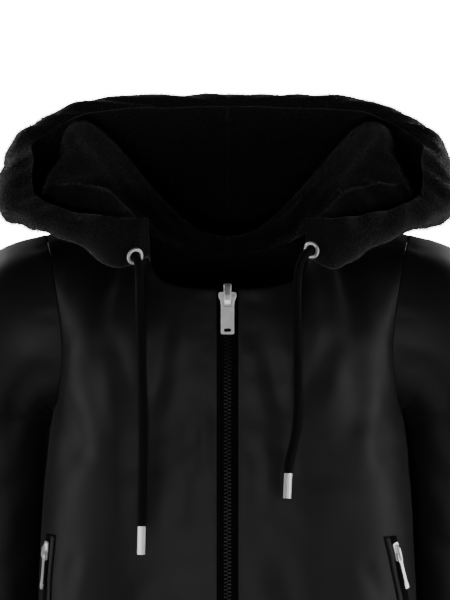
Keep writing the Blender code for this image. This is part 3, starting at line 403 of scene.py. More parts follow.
@dataclass(frozen=True)
class HoodForm:
    """Sections of half the hood, written for x above 0."""

    wall: float = 5.0
    seam_wall: float = 1.6
    seam_reach: float = 22.0
    end_wall: float = 2.2
    end_cells: int = 8
    side_splits: int = 5
    back_splits: int = 2
    step_rows: tuple[int, ...] = (1, 3, 3, 3, 3, 2, 2)
    station_cells: tuple[int, ...] = (5, 5, 5, 2, 2, 2, 3, 3)
    rise: float = 20.0
    rise_cells: float = 13.0
    rise_out: float = 0.6
    rise_up: float = 0.8
    fold_lean: float = 0.3
    neck_centre_y: float = -15.0
    # Where each section passes: inner roll, pocket, wall behind, outside, band, face edge.
    stations: tuple[Table, ...] = (
        ((78, -93, -25), (78, -97, -23), (78, -101, -20), (78, -105, -15), (79, -107, 2),
         (79, -103, 19)),
        ((96, -62, 22), (112, -84, 4), (113, -97, -24), (112, -110, -30), (112, -116, -9),
         (109, -106, 18)),
        ((138, -50, 52), (150, -57, 26), (158, -64, 4), (162, -78, -3), (161, -92, 9),
         (155, -84, 25)),
        ((178, -30, 58), (196, -12, 32), (219, -6, 16), (233, -26, 28), (223, -51, 36),
         (198, -53, 45)),
        ((165, 4, 92), (190, 50, 46), (225, 50, 50), (237, 8, 68), (226, -20, 72), (201, -20, 81)),
        ((166, 30, 116), (182, 86, 58), (214, 92, 84), (219, 44, 110), (213, 24, 112),
         (202, 20, 103)),
        ((143, 70, 121), (152, 116, 52), (190, 126, 92), (172, 76, 139), (166, 59, 140),
         (161, 53, 130)),
        ((92, 102, 56), (102, 138, 0), (146, 160, 60), (122, 82, 151), (119, 68, 150),
         (117, 63, 139)),
        ((0, 104, -22), (0, 138, -56), (0, 178, 40), (0, 90, 153), (0, 76, 153), (0, 71, 143)),
    )

    def splits(self, body: BodyForm) -> list[int]:
        """How many hood cells each cell of the neckline has."""
        return [self.side_splits] * body.side_cells + [self.back_splits] * body.back_cells

    def grid(self, neck_line: Array, body: BodyForm) -> Array:
        """Sections from the neck seam to the face edge, front end to centre back.

        Args:
            neck_line: the neckline that the hood is sewn to.
            body: the body it belongs to.
        Returns:
            The grid, with a section in each column.
        """
        neck = split_cells(neck_line, self.splits(body))
        table = np.asarray(self.stations, float)
        table = np.concatenate((table, mirrored(table[-2:-4:-1])))
        stations = rows_at(table, shares(self.station_cells + (1, 1)))[:len(neck)]
        sections = []
        for index, (base, passes) in enumerate(zip(neck, stations)):
            out = unit(np.array((base[0], base[1] - self.neck_centre_y, 0.0)))
            share = min(1.0, index / self.rise_cells) ** 2
            lift = self.rise_out * out + np.array((0.0, 0.0, self.rise_up))
            rise = base + share * self.rise * lift
            rise += (1.0 - share) * self.fold_lean * (passes[0] - base)
            points = np.concatenate(([base, rise], passes))
            sections.append(cubic_through(points, shares(self.step_rows)))
        return np.stack(sections, axis=1)


# ---------------------------------------------------------------- cloth
@dataclass
class Cloth:
    """A piece of cloth: its middle surface, the side that its face is on, and its wall."""

    name: str
    grid: Array
    closed: bool = False
    flip: bool = False
    wall: float = 2.0
    overlap: float = 0.4
    inside_share: float = 0.4
    normals: Array = field(init=False)
    outside: Array = field(init=False)
    inside: Array = field(init=False)
    chart: Array = field(init=False)

    def __post_init__(self) -> None:
        """Works out the directions, the wall and the flat chart."""
        self.normals = grid_normals(self.grid, self.closed) * (-1.0 if self.flip else 1.0)
        self.outside = np.full(self.grid.shape[:2], self.wall / 2.0)
        self.inside = np.full(self.grid.shape[:2], self.wall / 2.0)
        self.chart = self.flat_chart()

    def flat_chart(self) -> Array:
        """Flat places of the grid's points: across and along the cloth, in millimetres."""
        across = row_lengths(self.grid)
        along = row_lengths(self.grid.swapaxes(0, 1)).swapaxes(0, 1)
        return np.stack([across, along], axis=2)

    def refined(self, rows: Array, columns: Array) -> "Cloth":
        """The same piece read at finer places.

        Args:
            rows: places along the rows' axis.
            columns: places along the columns' axis; a closed piece is read once round.
        Returns:
            The finer piece.
        """
        wrap = 3 if self.closed else 0

        def fine(values: Array) -> Array:
            """Values of the grid at the finer places."""
            if wrap:
                values = np.concatenate((values[:, -wrap:], values, values[:, :wrap + 1]), axis=1)
            values = rows_at(values, rows)
            return rows_at(values.swapaxes(0, 1), columns + wrap).swapaxes(0, 1)

        result = Cloth(self.name, fine(self.grid), self.closed, self.flip, self.wall)
        result.normals = unit(fine(self.normals))
        result.outside = fine(self.outside)
        result.inside = fine(self.inside)
        return result

    def from_border(self, border: Border) -> Array:
        """Each point's distance over the cloth from a border."""
        return self.turned_back(border, row_lengths(self.turned(border, self.grid)))

    @staticmethod
    def turned(border: Border, values: Array) -> Array:
        """Values of the grid with each line running inward from the border."""
        if border in (Border.BOTTOM, Border.TOP):
            values = values.swapaxes(0, 1)
        return values if border in (Border.INNER, Border.BOTTOM) else values[:, ::-1]

    @staticmethod
    def turned_back(border: Border, values: Array) -> Array:
        """Undoes turned."""
        values = values if border in (Border.INNER, Border.BOTTOM) else values[:, ::-1]
        return values.swapaxes(0, 1) if border in (Border.BOTTOM, Border.TOP) else values

    def line_beside(self, border: Border, distance: float) -> tuple[Array, Array]:
        """A line on the cloth's face, at a distance from a border.

        Args:
            border: the border.
            distance: how far inward.
        Returns:
            The line's points, and the way the cloth faces there.
        """
        face = self.turned(border, self.grid + self.normals * self.outside[..., None])
        facing = self.turned(border, self.normals)
        reach = self.turned(border, self.from_border(border))
        rows = np.arange(len(face))
        cell = np.clip((reach < distance).sum(axis=1) - 1, 0, face.shape[1] - 2)
        span = reach[rows, cell + 1] - reach[rows, cell]
        share = ((distance - reach[rows, cell]) / span)[:, None]
        points = (1.0 - share) * face[rows, cell] + share * face[rows, cell + 1]
        ways = (1.0 - share) * facing[rows, cell] + share * facing[rows, cell + 1]
        return points, unit(ways)

    def roll_border(self, border: Border, reach: float, drop: float) -> None:
        """Rounds the face down into a seam.

        Args:
            border: the seam's border.
            reach: how far from it the cloth is level again.
            drop: how far the face falls at the seam.
        """
        share = 1.0 - np.clip(self.from_border(border) / reach, 0.0, 1.0)
        self.outside -= drop * share ** 2
        self.inside -= self.inside_share * drop * share ** 2

    def push(self, distance: Array) -> None:
        """Moves the cloth along its own directions, with its wall."""
        self.grid = self.grid + self.normals * distance[..., None]

    def joined_edges(self) -> Array:
        """The grid with its open borders moved out a little, into the piece it is sewn to."""
        grid = self.grid.copy()
        pairs = [((0, slice(None)), (1, slice(None))), ((-1, slice(None)), (-2, slice(None)))]
        if not self.closed:
            pairs += [((slice(None), 0), (slice(None), 1)), ((slice(None), -1), (slice(None), -2))]
        for border, neighbour in pairs:
            grid[border] += unit(grid[border] - grid[neighbour]) * self.overlap / 2.0
        return grid

    def build(self, slot: Slot, material: Material) -> Piece:
        """Makes the closed thin wall, with its flat chart as UVs.

        Args:
            slot: the slot it takes its finish from.
            material: its finish.
        Returns:
            The piece, riding on the jacket.
        """
        middle = self.joined_edges()
        front = middle + self.normals * self.outside[..., None]
        back = middle - self.normals * self.inside[..., None]
        rows, columns = middle.shape[:2]
        half = rows * columns
        index = point_numbers(rows, columns, self.closed)
        quad = grid_quads(index)
        outward = quad[:, ::-1] if self.flip else quad
        faces = [outward, outward[:, ::-1] + half]
        edges = [index[0], index[-1][::-1]]
        if not self.closed:
            edges += [index[:, -1], index[::-1, 0]]
        for edge in edges:
            rim = np.stack([edge[1:], edge[:-1], edge[:-1] + half, edge[1:] + half], axis=1)
            faces.append(rim[:, ::-1] if self.flip else rim)
        points = np.concatenate((front.reshape(-1, 3), back.reshape(-1, 3)))
        chart = np.concatenate((self.chart.reshape(-1, 2),) * 2)
        piece = mesh_object(self.name, points, np.concatenate(faces), material)
        add_chart(piece.data, chart)
        return piece


def add_chart(mesh: bpy.types.Mesh, chart: Array) -> None:
    """Writes each vertex's flat place, in millimetres, as a UV map."""
    layer = mesh.uv_layers.new(name="chart")
    corners = np.empty(len(mesh.loops), np.int32)
    mesh.loops.foreach_get("vertex_index", corners)
    layer.data.foreach_set("uv", chart[corners].astype(np.float32).ravel())


def point_numbers(rows: int, columns: int, closed: bool) -> Array:
    """Numbers of a grid's points; closed repeats the first column after the last one."""
    index = np.arange(rows * columns).reshape(rows, columns)
    return np.concatenate((index, index[:, :1]), axis=1) if closed else index


def grid_quads(index: Array) -> Array:
    """Faces between the neighbouring points of a grid of point numbers."""
    quads = np.stack([index[:-1, :-1], index[:-1, 1:], index[1:, 1:], index[1:, :-1]], axis=2)
    return quads.reshape(-1, 4)


def cap_quads(ring: Array) -> Array:
    """Faces across a ring of point numbers, even in count, that close it."""
    return np.array([(ring[i], ring[i + 1], ring[-2 - i], ring[-1 - i])
                     for i in range(len(ring) // 2 - 1)])


def mesh_object(name: str, points: Array, faces: Array, material: Material) -> Piece:
    """Makes a smooth mesh that rides on the jacket.

    Args:
        name: the piece's name.
        points: its points in millimetres.
        faces: rows of point numbers, all of one length.
        material: its finish.
    Returns:
        The piece.
    """
    mesh = bpy.data.meshes.new(name)
    per_face = faces.shape[1]
    mesh.vertices.add(len(points))
    mesh.vertices.foreach_set("co", (points * MM).astype(np.float32).ravel())
    mesh.loops.add(faces.size)
    mesh.loops.foreach_set("vertex_index", faces.astype(np.int32).ravel())
    mesh.polygons.add(len(faces))
    mesh.polygons.foreach_set("loop_start", np.arange(len(faces), dtype=np.int32) * per_face)
    mesh.update(calc_edges=True)
    mesh.validate()
    mesh.materials.append(material)
    mesh.shade_smooth()
    piece = bpy.data.objects.new(name, mesh)
    bpy.context.scene.collection.objects.link(piece)
    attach(piece, JACKET_BODY)
    return piece


def share_seam_normals(cloths: list[Cloth]) -> None:
    """Gives points that pieces have in common one direction, so that their walls meet."""
    sums: dict[tuple[float, ...], Array] = {}
    for cloth in cloths:
        for point, normal in zip(cloth.grid.reshape(-1, 3), cloth.normals.reshape(-1, 3)):
            key = tuple(np.round(point, 3))
            sums[key] = sums.get(key, 0.0) + normal
    for cloth in cloths:
        for spot in np.ndindex(cloth.grid.shape[:2]):
            cloth.normals[spot] = unit(sums[tuple(np.round(cloth.grid[spot], 3))])


# ---------------------------------------------------------------- folds
@dataclass(frozen=True)
class Crease:
    """A soft trough in a piece of cloth, or a ridge where its depth is below 0."""

    route: Table
    depth: float
    reach: float
    lip: float = 0.4
    lip_place: float = 1.9
    fade: float = 0.3
    cuts: int = 6

    def distance(self, chart: Array) -> Array:
        """How far the crease moves each point of a chart outward.

        Args:
            chart: flat places, in the axes that the route is written in.
        Returns:
            Distances in millimetres, below 0 in a trough.
        """
        line = np.asarray(self.route, float)
        if len(line) > 2:
            line = cubic_through(line, shares((self.cuts,) * (len(line) - 1)))
        flat = chart.reshape(-1, 2)
        steps = np.linalg.norm(np.diff(line, axis=0), axis=1)
        nearest = np.full(len(flat), np.inf)
        along = np.zeros(len(flat))
        for start, end, step, before in zip(line[:-1], line[1:], steps, lengths_along(line)):
            way = (end - start) / step
            share = np.clip((flat - start) @ way, 0.0, step)
            away = np.linalg.norm(flat - start - share[:, None] * way, axis=1)
            closer = away < nearest
            nearest = np.where(closer, away, nearest)
            along = np.where(closer, before + share, along)
        place = along / steps.sum()
        ends = smooth_step(place / self.fade) * smooth_step((1.0 - place) / self.fade)
        trough = np.exp(-(nearest / self.reach) ** 2)
        lips = np.exp(-((nearest - self.lip_place * self.reach) / self.reach) ** 2)
        return (self.depth * ends * (self.lip * lips - trough)).reshape(chart.shape[:2])


def creases(*rows: tuple[float, ...]) -> tuple[Crease, ...]:
    """Creases from rows of numbers: three places of the route, then the depth and the reach."""
    return tuple(Crease(tuple(zip(row[0:6:2], row[1:6:2])), row[6], row[7]) for row in rows)


# Of the fronts and the back, and of the hood's outer face: across from the middle and up.
FRONT_CREASES = {
    Side.RIGHT: creases(
        (-122, -78, -104, -140, -88, -204, 2.2, 11), (-56, -60, -70, -140, -86, -204, 2.2, 11),
        (-88, -175, -87, -250, -92, -320, 1.8, 12), (-34, -180, -31, -215, -33, -245, 1.2, 6),
        (-47, -182, -44, -230, -49, -300, 0.9, 8), (-152, -312, -160, -345, -168, -372, 1.6, 7),
        (-172, -150, -158, -185, -150, -235, 2.2, 11),
        (-120, -90, -132, -140, -138, -190, 1.5, 14), (-60, -330, -75, -400, -110, -470, 1.8, 13),
        (-28, -380, -40, -430, -70, -490, 1.5, 10), (-130, -395, -120, -450, -112, -505, 1.6, 12)),
    Side.LEFT: creases(
        (34, -100, 48, -150, 56, -190, 2, 10), (116, -82, 88, -140, 60, -190, 2.2, 11),
        (58, -165, 55, -220, 58, -275, 1.8, 11), (24, -205, 30, -235, 28, -270, 1, 6),
        (133, -322, 145, -345, 158, -368, 1.6, 7), (172, -150, 160, -190, 156, -245, 2.2, 11),
        (112, -95, 126, -150, 130, -215, 1.5, 13), (52, -300, 66, -380, 96, -450, 1.7, 14),
        (30, -400, 44, -440, 78, -500, 1.4, 10), (126, -405, 118, -455, 116, -510, 1.5, 12)),
}
BACK_CREASES = creases(
    (-168, -150, -120, -190, -70, -205, 2.4, 13), (168, -145, 126, -182, 64, -196, 2.2, 12),
    (-150, -250, -90, -272, -20, -268, 1.6, 15), (158, -265, 96, -300, 40, -308, 1.8, 14),
    (-120, -380, -104, -440, -110, -505, 1.8, 12), (-30, -400, -24, -450, -34, -510, 1.5, 11),
    (64, -390, 74, -450, 66, -512, 1.7, 12), (140, -400, 132, -455, 136, -510, 1.6, 11),
    (-60, -70, -10, -84, 48, -72, 1.2, 12))
HOOD_CREASES = {
    Side.RIGHT: creases(
        (-158, 118, -146, 92, -138, 74, 3, 13), (-134, 74, -150, 60, -170, 42, 2.4, 7),
        (-190, 96, -196, 74, -188, 50, -1.8, 8), (-112, 20, -134, 8, -160, 12, 1.8, 8)),
    Side.LEFT: creases(
        (110, 68, 140, 57, 178, 48, -2.2, 8), (134, 86, 156, 76, 186, 68, 2.2, 9),
        (150, 128, 166, 108, 176, 88, 2.4, 12), (118, 22, 146, 10, 172, 16, 1.8, 8)),
}
# Of the sleeves: millimetres round them from the underarm by the front, and up.
SLEEVE_CREASES = {
    Side.LEFT: creases(
        (60, -95, 78, -150, 96, -215, 2.6, 13), (96, -120, 120, -180, 128, -260, 2.2, 12),
        (20, -215, 72, -250, 128, -268, 2.4, 12), (40, -300, 100, -330, 170, -322, 2.6, 14),
        (60, -385, 118, -398, 190, -372, 2.4, 13), (200, -420, 262, -440, 330, -418, 2.6, 13),
        (230, -330, 290, -352, 352, -340, 2.4, 14), (250, -215, 300, -250, 372, -262, 2.3, 13),
        (30, -455, 96, -478, 150, -470, 2.8, 12), (180, -490, 236, -505, 300, -492, 2.4, 11)),
    Side.RIGHT: creases(
        (56, -92, 70, -160, 98, -222, 2.4, 12), (100, -128, 116, -190, 122, -262, 2, 12),
        (24, -225, 80, -262, 132, -272, 2.6, 13), (36, -312, 92, -346, 160, -340, 2.4, 13),
        (70, -398, 130, -414, 196, -390, 2.6, 14), (196, -432, 256, -448, 322, -430, 2.4, 12),
        (226, -342, 280, -362, 346, -352, 2.6, 14), (246, -225, 306, -262, 366, -268, 2.2, 13),
        (26, -468, 90, -488, 146, -480, 2.6, 12), (186, -498, 240, -510, 306, -500, 2.4, 11)),
}


def soft_waves(chart: Array, seed: int, length: float, height: float, lean: float = 0.0) -> Array:
    """Low uneven waves over a chart, mostly running one way.

    Args:
        chart: flat places in millimetres.
        seed: picks the waves.
        length: the middle wavelength.
        height: how high the waves are together, about.
        lean: the waves' travel direction, in degrees from across.
    Returns:
        Distances in millimetres.
    """
    picks = np.random.default_rng(seed)
    total = np.zeros(chart.shape[:2])
    count, spread, shortest, longest = 7, 24.0, 0.6, 1.7
    for _ in range(count):
        angle = math.radians(lean + picks.normal(0.0, spread))
        number = 2.0 * math.pi / (length * picks.uniform(shortest, longest))
        travel = chart @ np.array((math.cos(angle), math.sin(angle)))
        total += np.sin(number * travel + picks.uniform(0.0, 2.0 * math.pi))
    return total * height / math.sqrt(count)


# ---------------------------------------------------------------- shader nodes
class Nodes:
    """Adds nodes to a tree, and links them."""

    def __init__(self, tree: Tree) -> None:
        """Keeps the tree."""
        self.tree = tree

    def add(self, kind: str, values: dict[str, object] | None = None,
            **settings: object) -> bpy.types.Node:
        """Adds a node.

        Args:
            kind: the node's type name.
            values: its input sockets' values or links, by name or number.
            settings: its own properties.
        Returns:
            The node.
        """
        node = self.tree.nodes.new(kind)
        for name, value in settings.items():
            setattr(node, name, value)
        for key, value in (values or {}).items():
            if isinstance(value, Socket):
                self.tree.links.new(value, node.inputs[key])
            else:
                node.inputs[key].default_value = value
        return node

    def math(self, operation: str, first: object, second: object = 0.0) -> Socket:
        """A sum of one or two values.

        Args:
            operation: the Math node's operation.
            first: a number or a socket.
            second: a number or a socket.
        Returns:
            The result's socket.
        """
        return self.add("ShaderNodeMath", {0: first, 1: second}, operation=operation).outputs[0]

    def wave(self, place: Socket, period: Socket) -> Socket:
        """A sine of a place, once for each period."""
        turns = self.math("DIVIDE", self.math("MULTIPLY", place, 2.0 * math.pi), period)
        return self.math("SINE", turns)


def new_group(name: str, inputs: dict[str, float], outputs: tuple[str, ...]) -> tuple[
        Nodes, bpy.types.Node, bpy.types.Node]:
    """Starts a shader node group.

    Args:
        name: the group's name.
        inputs: its number inputs with their defaults; a vector input Place comes first.
        outputs: its number outputs.
    Returns:
        The tree's nodes, the group's input node and its output node.
    """
    tree = bpy.data.node_groups.new(name, "ShaderNodeTree")
    tree.interface.new_socket("Place", in_out="INPUT", socket_type="NodeSocketVector")
    for label, value in inputs.items():
        socket = tree.interface.new_socket(label, in_out="INPUT", socket_type="NodeSocketFloat")
        socket.default_value = value
    for label in outputs:
        tree.interface.new_socket(label, in_out="OUTPUT", socket_type="NodeSocketFloat")
    nodes = Nodes(tree)
    return nodes, nodes.add("NodeGroupInput"), nodes.add("NodeGroupOutput")


def mottle_group() -> Tree:
    """Soft uneven patches: Amount is about 0.5, and from 0 to 1."""
    nodes, source, sink = new_group("mottle", {"Size": 20.0, "Contrast": 1.0}, ("Amount",))
    scale = nodes.math("DIVIDE", 1.0, source.outputs["Size"])
    noise = nodes.add("ShaderNodeTexNoise", {"Vector": source.outputs["Place"], "Scale": scale,
                                             "Detail": 3.0, "Roughness": 0.55})
    centred = nodes.math("SUBTRACT", noise.outputs["Fac"], 0.5)
    spread = nodes.math("MULTIPLY", centred, source.outputs["Contrast"])
    amount = nodes.add("ShaderNodeClamp", {"Value": nodes.math("ADD", spread, 0.5)})
    nodes.tree.links.new(amount.outputs[0], sink.inputs["Amount"])
    return nodes.tree


def weave_group() -> Tree:
    """Crossed threads: Height of a warp that floats over a finer weft."""
    nodes, source, sink = new_group("weave", {"Warp": 0.6, "Weft": 0.6, "Float": 0.5}, ("Height",))
    parts = nodes.add("ShaderNodeSeparateXYZ", {0: source.outputs["Place"]})
    warp = nodes.wave(parts.outputs[0], source.outputs["Warp"])
    weft = nodes.wave(parts.outputs[1], source.outputs["Weft"])
    cross = nodes.math("MULTIPLY", nodes.math("MULTIPLY", warp, weft), source.outputs["Float"])
    height = nodes.math("ADD", nodes.math("MULTIPLY", warp, 0.5), cross)
    nodes.tree.links.new(height, sink.inputs["Height"])
    return nodes.tree


def stitch_group() -> Tree:
    """Rows of knitted loops: Height of slanted loops that change their lean at each wale."""
    nodes, source, sink = new_group("loops", {"Wale": 1.1, "Course": 0.9}, ("Height",))
    parts = nodes.add("ShaderNodeSeparateXYZ", {0: source.outputs["Place"]})
    wale = nodes.math("DIVIDE", parts.outputs[0], source.outputs["Wale"])
    fold = nodes.math("PINGPONG", wale, 1.0)
    lean = nodes.math("SUBTRACT", nodes.math("DIVIDE", parts.outputs[1], source.outputs["Course"]),
                      nodes.math("MULTIPLY", fold, 0.8))
    loop = nodes.math("SINE", nodes.math("MULTIPLY", lean, 2.0 * math.pi))
    ridge = nodes.math("SINE", nodes.math("MULTIPLY", fold, math.pi))
    raised = nodes.math("ADD", nodes.math("MULTIPLY", loop, 0.5), 0.5)
    height = nodes.math("MULTIPLY", raised, ridge)
    nodes.tree.links.new(height, sink.inputs["Height"])
    return nodes.tree


@dataclass
class Effects:
    """The node groups that the finishes share."""

    mottle: Tree = field(default_factory=mottle_group)
    weave: Tree = field(default_factory=weave_group)
    loops: Tree = field(default_factory=stitch_group)


@dataclass(frozen=True)
class Finish:
    """What every finish has: a dark or bright color whose patches and roughness vary a little."""

    name: str
    color: Point
    patch_color: Point
    roughness: float
    roughness_spread: float
    patch_size: float
    metallic: float = 0.0
    specular: float = 0.5
    sheen: float = 0.0
    sheen_roughness: float = 0.4
    bump: float = 0.2
    bump_depth: float = 0.0002
    patch_contrast: float = 2.2

    def height(self, nodes: Nodes, effects: Effects) -> Socket | None:
        """The surface's fine relief, or None where it is smooth."""
        return None

    def place(self, nodes: Nodes) -> Socket:
        """Flat places on the cloth, in millimetres."""
        return nodes.add("ShaderNodeUVMap", uv_map="chart").outputs[0]

    def solid_place(self, nodes: Nodes) -> Socket:
        """Places in the jacket's own axes, in millimetres."""
        source = nodes.add("ShaderNodeTexCoord").outputs["Object"]
        scale = (1.0 / MM,) * 3
        return nodes.add("ShaderNodeVectorMath", {0: source, 1: scale},
                         operation="MULTIPLY").outputs[0]

    def grouped(self, nodes: Nodes, tree: Tree, place: Socket, **values: float) -> Socket:
        """Places a shared effect.

        Args:
            nodes: the material's nodes.
            tree: the effect's group.
            place: where on the surface.
            values: the group's own inputs.
        Returns:
            The effect's first output.
        """
        group = nodes.add("ShaderNodeGroup", node_tree=tree)
        nodes.tree.links.new(place, group.inputs["Place"])
        for label, value in values.items():
            group.inputs[label].default_value = value
        return group.outputs[0]

    def material(self, effects: Effects) -> Material:
        """Makes the material.

        Args:
            effects: the shared node groups.
        Returns:
            The material.
        """
        material = bpy.data.materials.new(self.name)
        material.use_nodes = True
        nodes = Nodes(material.node_tree)
        shader = material.node_tree.nodes["Principled BSDF"]
        constants = {"Metallic": self.metallic, "Specular IOR Level": self.specular,
                     "Sheen Weight": self.sheen, "Sheen Roughness": self.sheen_roughness}
        for label, value in constants.items():
            shader.inputs[label].default_value = value
        patches = self.grouped(nodes, effects.mottle, self.solid_place(nodes),
                               Size=self.patch_size, Contrast=self.patch_contrast)
        mix = nodes.add("ShaderNodeMix", {0: patches}, data_type="RGBA")
        mix.inputs[6].default_value = (*self.color, 1.0)
        mix.inputs[7].default_value = (*self.patch_color, 1.0)
        material.node_tree.links.new(mix.outputs[2], shader.inputs["Base Color"])
        uneven = nodes.add("ShaderNodeMapRange", {
            "Value": patches, "To Min": self.roughness - self.roughness_spread,
            "To Max": self.roughness + self.roughness_spread})
        material.node_tree.links.new(uneven.outputs[0], shader.inputs["Roughness"])
        relief = self.height(nodes, effects)
        if relief is not None:
            bump = nodes.add("ShaderNodeBump", {"Strength": self.bump, "Height": relief,
                                                "Distance": self.bump_depth})
            material.node_tree.links.new(bump.outputs[0], shader.inputs["Normal"])
        return material


@dataclass(frozen=True)
class Woven(Finish):
    """Woven cloth."""

    warp: float = 0.6
    weft: float = 0.6
    over: float = 0.5
    crumple_size: float = 9.0
    thread_share: float = 0.35
    crumple_share: float = 2.0

    def height(self, nodes: Nodes, effects: Effects) -> Socket:
        """Threads, with a slight crumple over them."""
        threads = self.grouped(nodes, effects.weave, self.place(nodes), Warp=self.warp,
                               Weft=self.weft, Float=self.over)
        crumple = self.grouped(nodes, effects.mottle, self.solid_place(nodes),
                               Size=self.crumple_size, Contrast=1.0)
        return nodes.math("ADD", nodes.math("MULTIPLY", threads, self.thread_share),
                          nodes.math("MULTIPLY", crumple, self.crumple_share))


@dataclass(frozen=True)
class Plush(Finish):
    """The ground and the fibres of plush."""

    clump: float = 2.4
    clump_contrast: float = 2.0

    def height(self, nodes: Nodes, effects: Effects) -> Socket:
        """Clumps of pile."""
        return self.grouped(nodes, effects.mottle, self.solid_place(nodes), Size=self.clump,
                            Contrast=self.clump_contrast)


@dataclass(frozen=True)
class Knit(Finish):
    """Rib knit, or a braid, whose loops lean to one side and then the other."""

    wale: float = 1.2
    course: float = 1.1

    def height(self, nodes: Nodes, effects: Effects) -> Socket:
        """Rows of loops."""
        return self.grouped(nodes, effects.loops, self.place(nodes), Wale=self.wale,
                            Course=self.course)


@dataclass(frozen=True)
class Metal(Finish):
    """Plated metal with fine scratches."""

    scratch: float = 0.35
    scratch_contrast: float = 1.6
    drawn: Point = (1.0, 1.0, 0.08)

    def height(self, nodes: Nodes, effects: Effects) -> Socket:
        """Fine scratches, drawn out across the part."""
        place = nodes.add("ShaderNodeVectorMath", {0: self.solid_place(nodes), 1: self.drawn},
                          operation="MULTIPLY").outputs[0]
        return self.grouped(nodes, effects.mottle, place, Size=self.scratch,
                            Contrast=self.scratch_contrast)


FINISHES: dict[str, Finish] = {
    "satin": Woven("black_satin_nylon", (0.0065, 0.0065, 0.0071), (0.0085, 0.0085, 0.0092), 0.48,
                   0.04, 60.0, specular=0.24, sheen=0.05, sheen_roughness=0.35, bump=0.30,
                   bump_depth=0.00018),
    "plush": Plush("black_plush_ground", (0.0032, 0.0032, 0.0035), (0.0054, 0.0054, 0.0058), 0.85,
                   0.08, 26.0, specular=0.16, sheen=0.18, sheen_roughness=0.45, bump=0.8,
                   bump_depth=0.0008),
    "pile": Plush("black_plush_pile", (0.0056, 0.0056, 0.006), (0.0128, 0.0128, 0.0136), 0.50, 0.1,
                  18.0, specular=0.42, sheen=0.15, bump=0.0),
    "knit": Knit("black_rib_knit", (0.0052, 0.0052, 0.0056), (0.0072, 0.0072, 0.0076), 0.86, 0.06,
                 30.0, specular=0.15, sheen=0.08, bump=0.9, bump_depth=0.0005),
    "tape": Woven("black_zip_tape", (0.0014, 0.0014, 0.0016), (0.0024, 0.0024, 0.0026), 0.82, 0.06,
                  12.0, specular=0.1, bump=0.6, bump_depth=0.0003, warp=1.0, weft=0.8, over=1.0),
    "teeth": Plush("black_zip_teeth", (0.0022, 0.0022, 0.0024), (0.004, 0.004, 0.0042), 0.40, 0.08,
                   6.0, specular=0.16, bump=0.15, bump_depth=0.0001, clump=0.8),
    "thread": Plush("black_thread", (0.006, 0.006, 0.0065), (0.009, 0.009, 0.0095), 0.5, 0.08, 5.0,
                    specular=0.2, bump=0.3, bump_depth=0.0001, clump=0.4),
    "cord": Knit("black_braided_cord", (0.0016, 0.0016, 0.0018), (0.003, 0.003, 0.0032), 0.68,
                 0.06, 10.0, specular=0.12, sheen=0.02, bump=1.0, bump_depth=0.0006, wale=1.75,
                 course=2.6),
    "nickel": Metal("polished_nickel", (0.92, 0.92, 0.93), (0.98, 0.98, 0.99), 0.42, 0.06, 5.0,
                    metallic=1.0, bump=0.12, bump_depth=0.00005),
}


# ---------------------------------------------------------------- sewing
@dataclass
class Sewing:
    """Rows of thread stitches, gathered into one mesh."""

    name: str
    pitch: float = 3.2
    length: float = 2.5
    width: float = 0.7
    height: float = 0.3
    sunk: float = 0.1
    belly: float = 0.2
    points: list[Array] = field(default_factory=list)

    def sew(self, line: Array, facing: Array) -> None:
        """Adds a row of stitches along a line.

        Args:
            line: the line's points on the cloth's face.
            facing: the way the cloth faces at each.
        """
        along = lengths_along(line)
        count = int(along[-1] / self.pitch)
        if count < 1:
            return
        wanted = (np.arange(count) + 0.5) * along[-1] / count
        middle = read_along(line, along, wanted)
        out = unit(read_along(facing, along, wanted))
        start = read_along(line, along, wanted - self.length / 2.0)
        end = read_along(line, along, wanted + self.length / 2.0)
        side = unit(np.cross(end - start, out)) * self.width / 2.0
        stitch = [start - out * self.sunk, middle + side, middle - side, end - out * self.sunk,
                  middle + out * self.height, middle - out * self.belly]
        self.points.append(np.stack(stitch, axis=1))

    def build(self, slot: Slot, material: Material) -> Piece:
        """Makes the mesh of all the stitches."""
        points = np.concatenate(self.points)
        pattern = np.array(((0, 1, 4), (4, 1, 3), (0, 4, 2), (4, 3, 2),
                            (0, 5, 1), (5, 3, 1), (0, 2, 5), (5, 2, 3)))
        faces = (np.arange(len(points))[:, None, None] * 6 + pattern).reshape(-1, 3)
        return mesh_object(self.name, points.reshape(-1, 3), faces, material)


# ---------------------------------------------------------------- the shell
def border_shares(cells: int, per_cell: int, fine: tuple[float, ...] = (0.12, 0.3, 0.6)) -> Array:
    """Places that cut each cell evenly, with finer places beside the first and last cell's ends.

    Args:
        cells: how many cells there are.
        per_cell: even parts of each.
        fine: further places, as shares of the first part.
    Returns:
        The places.
    """
    even = np.arange(cells * per_cell + 1) / per_cell
    near = np.array(fine) / per_cell
    return np.unique(np.concatenate((even, near, cells - near)).round(6))


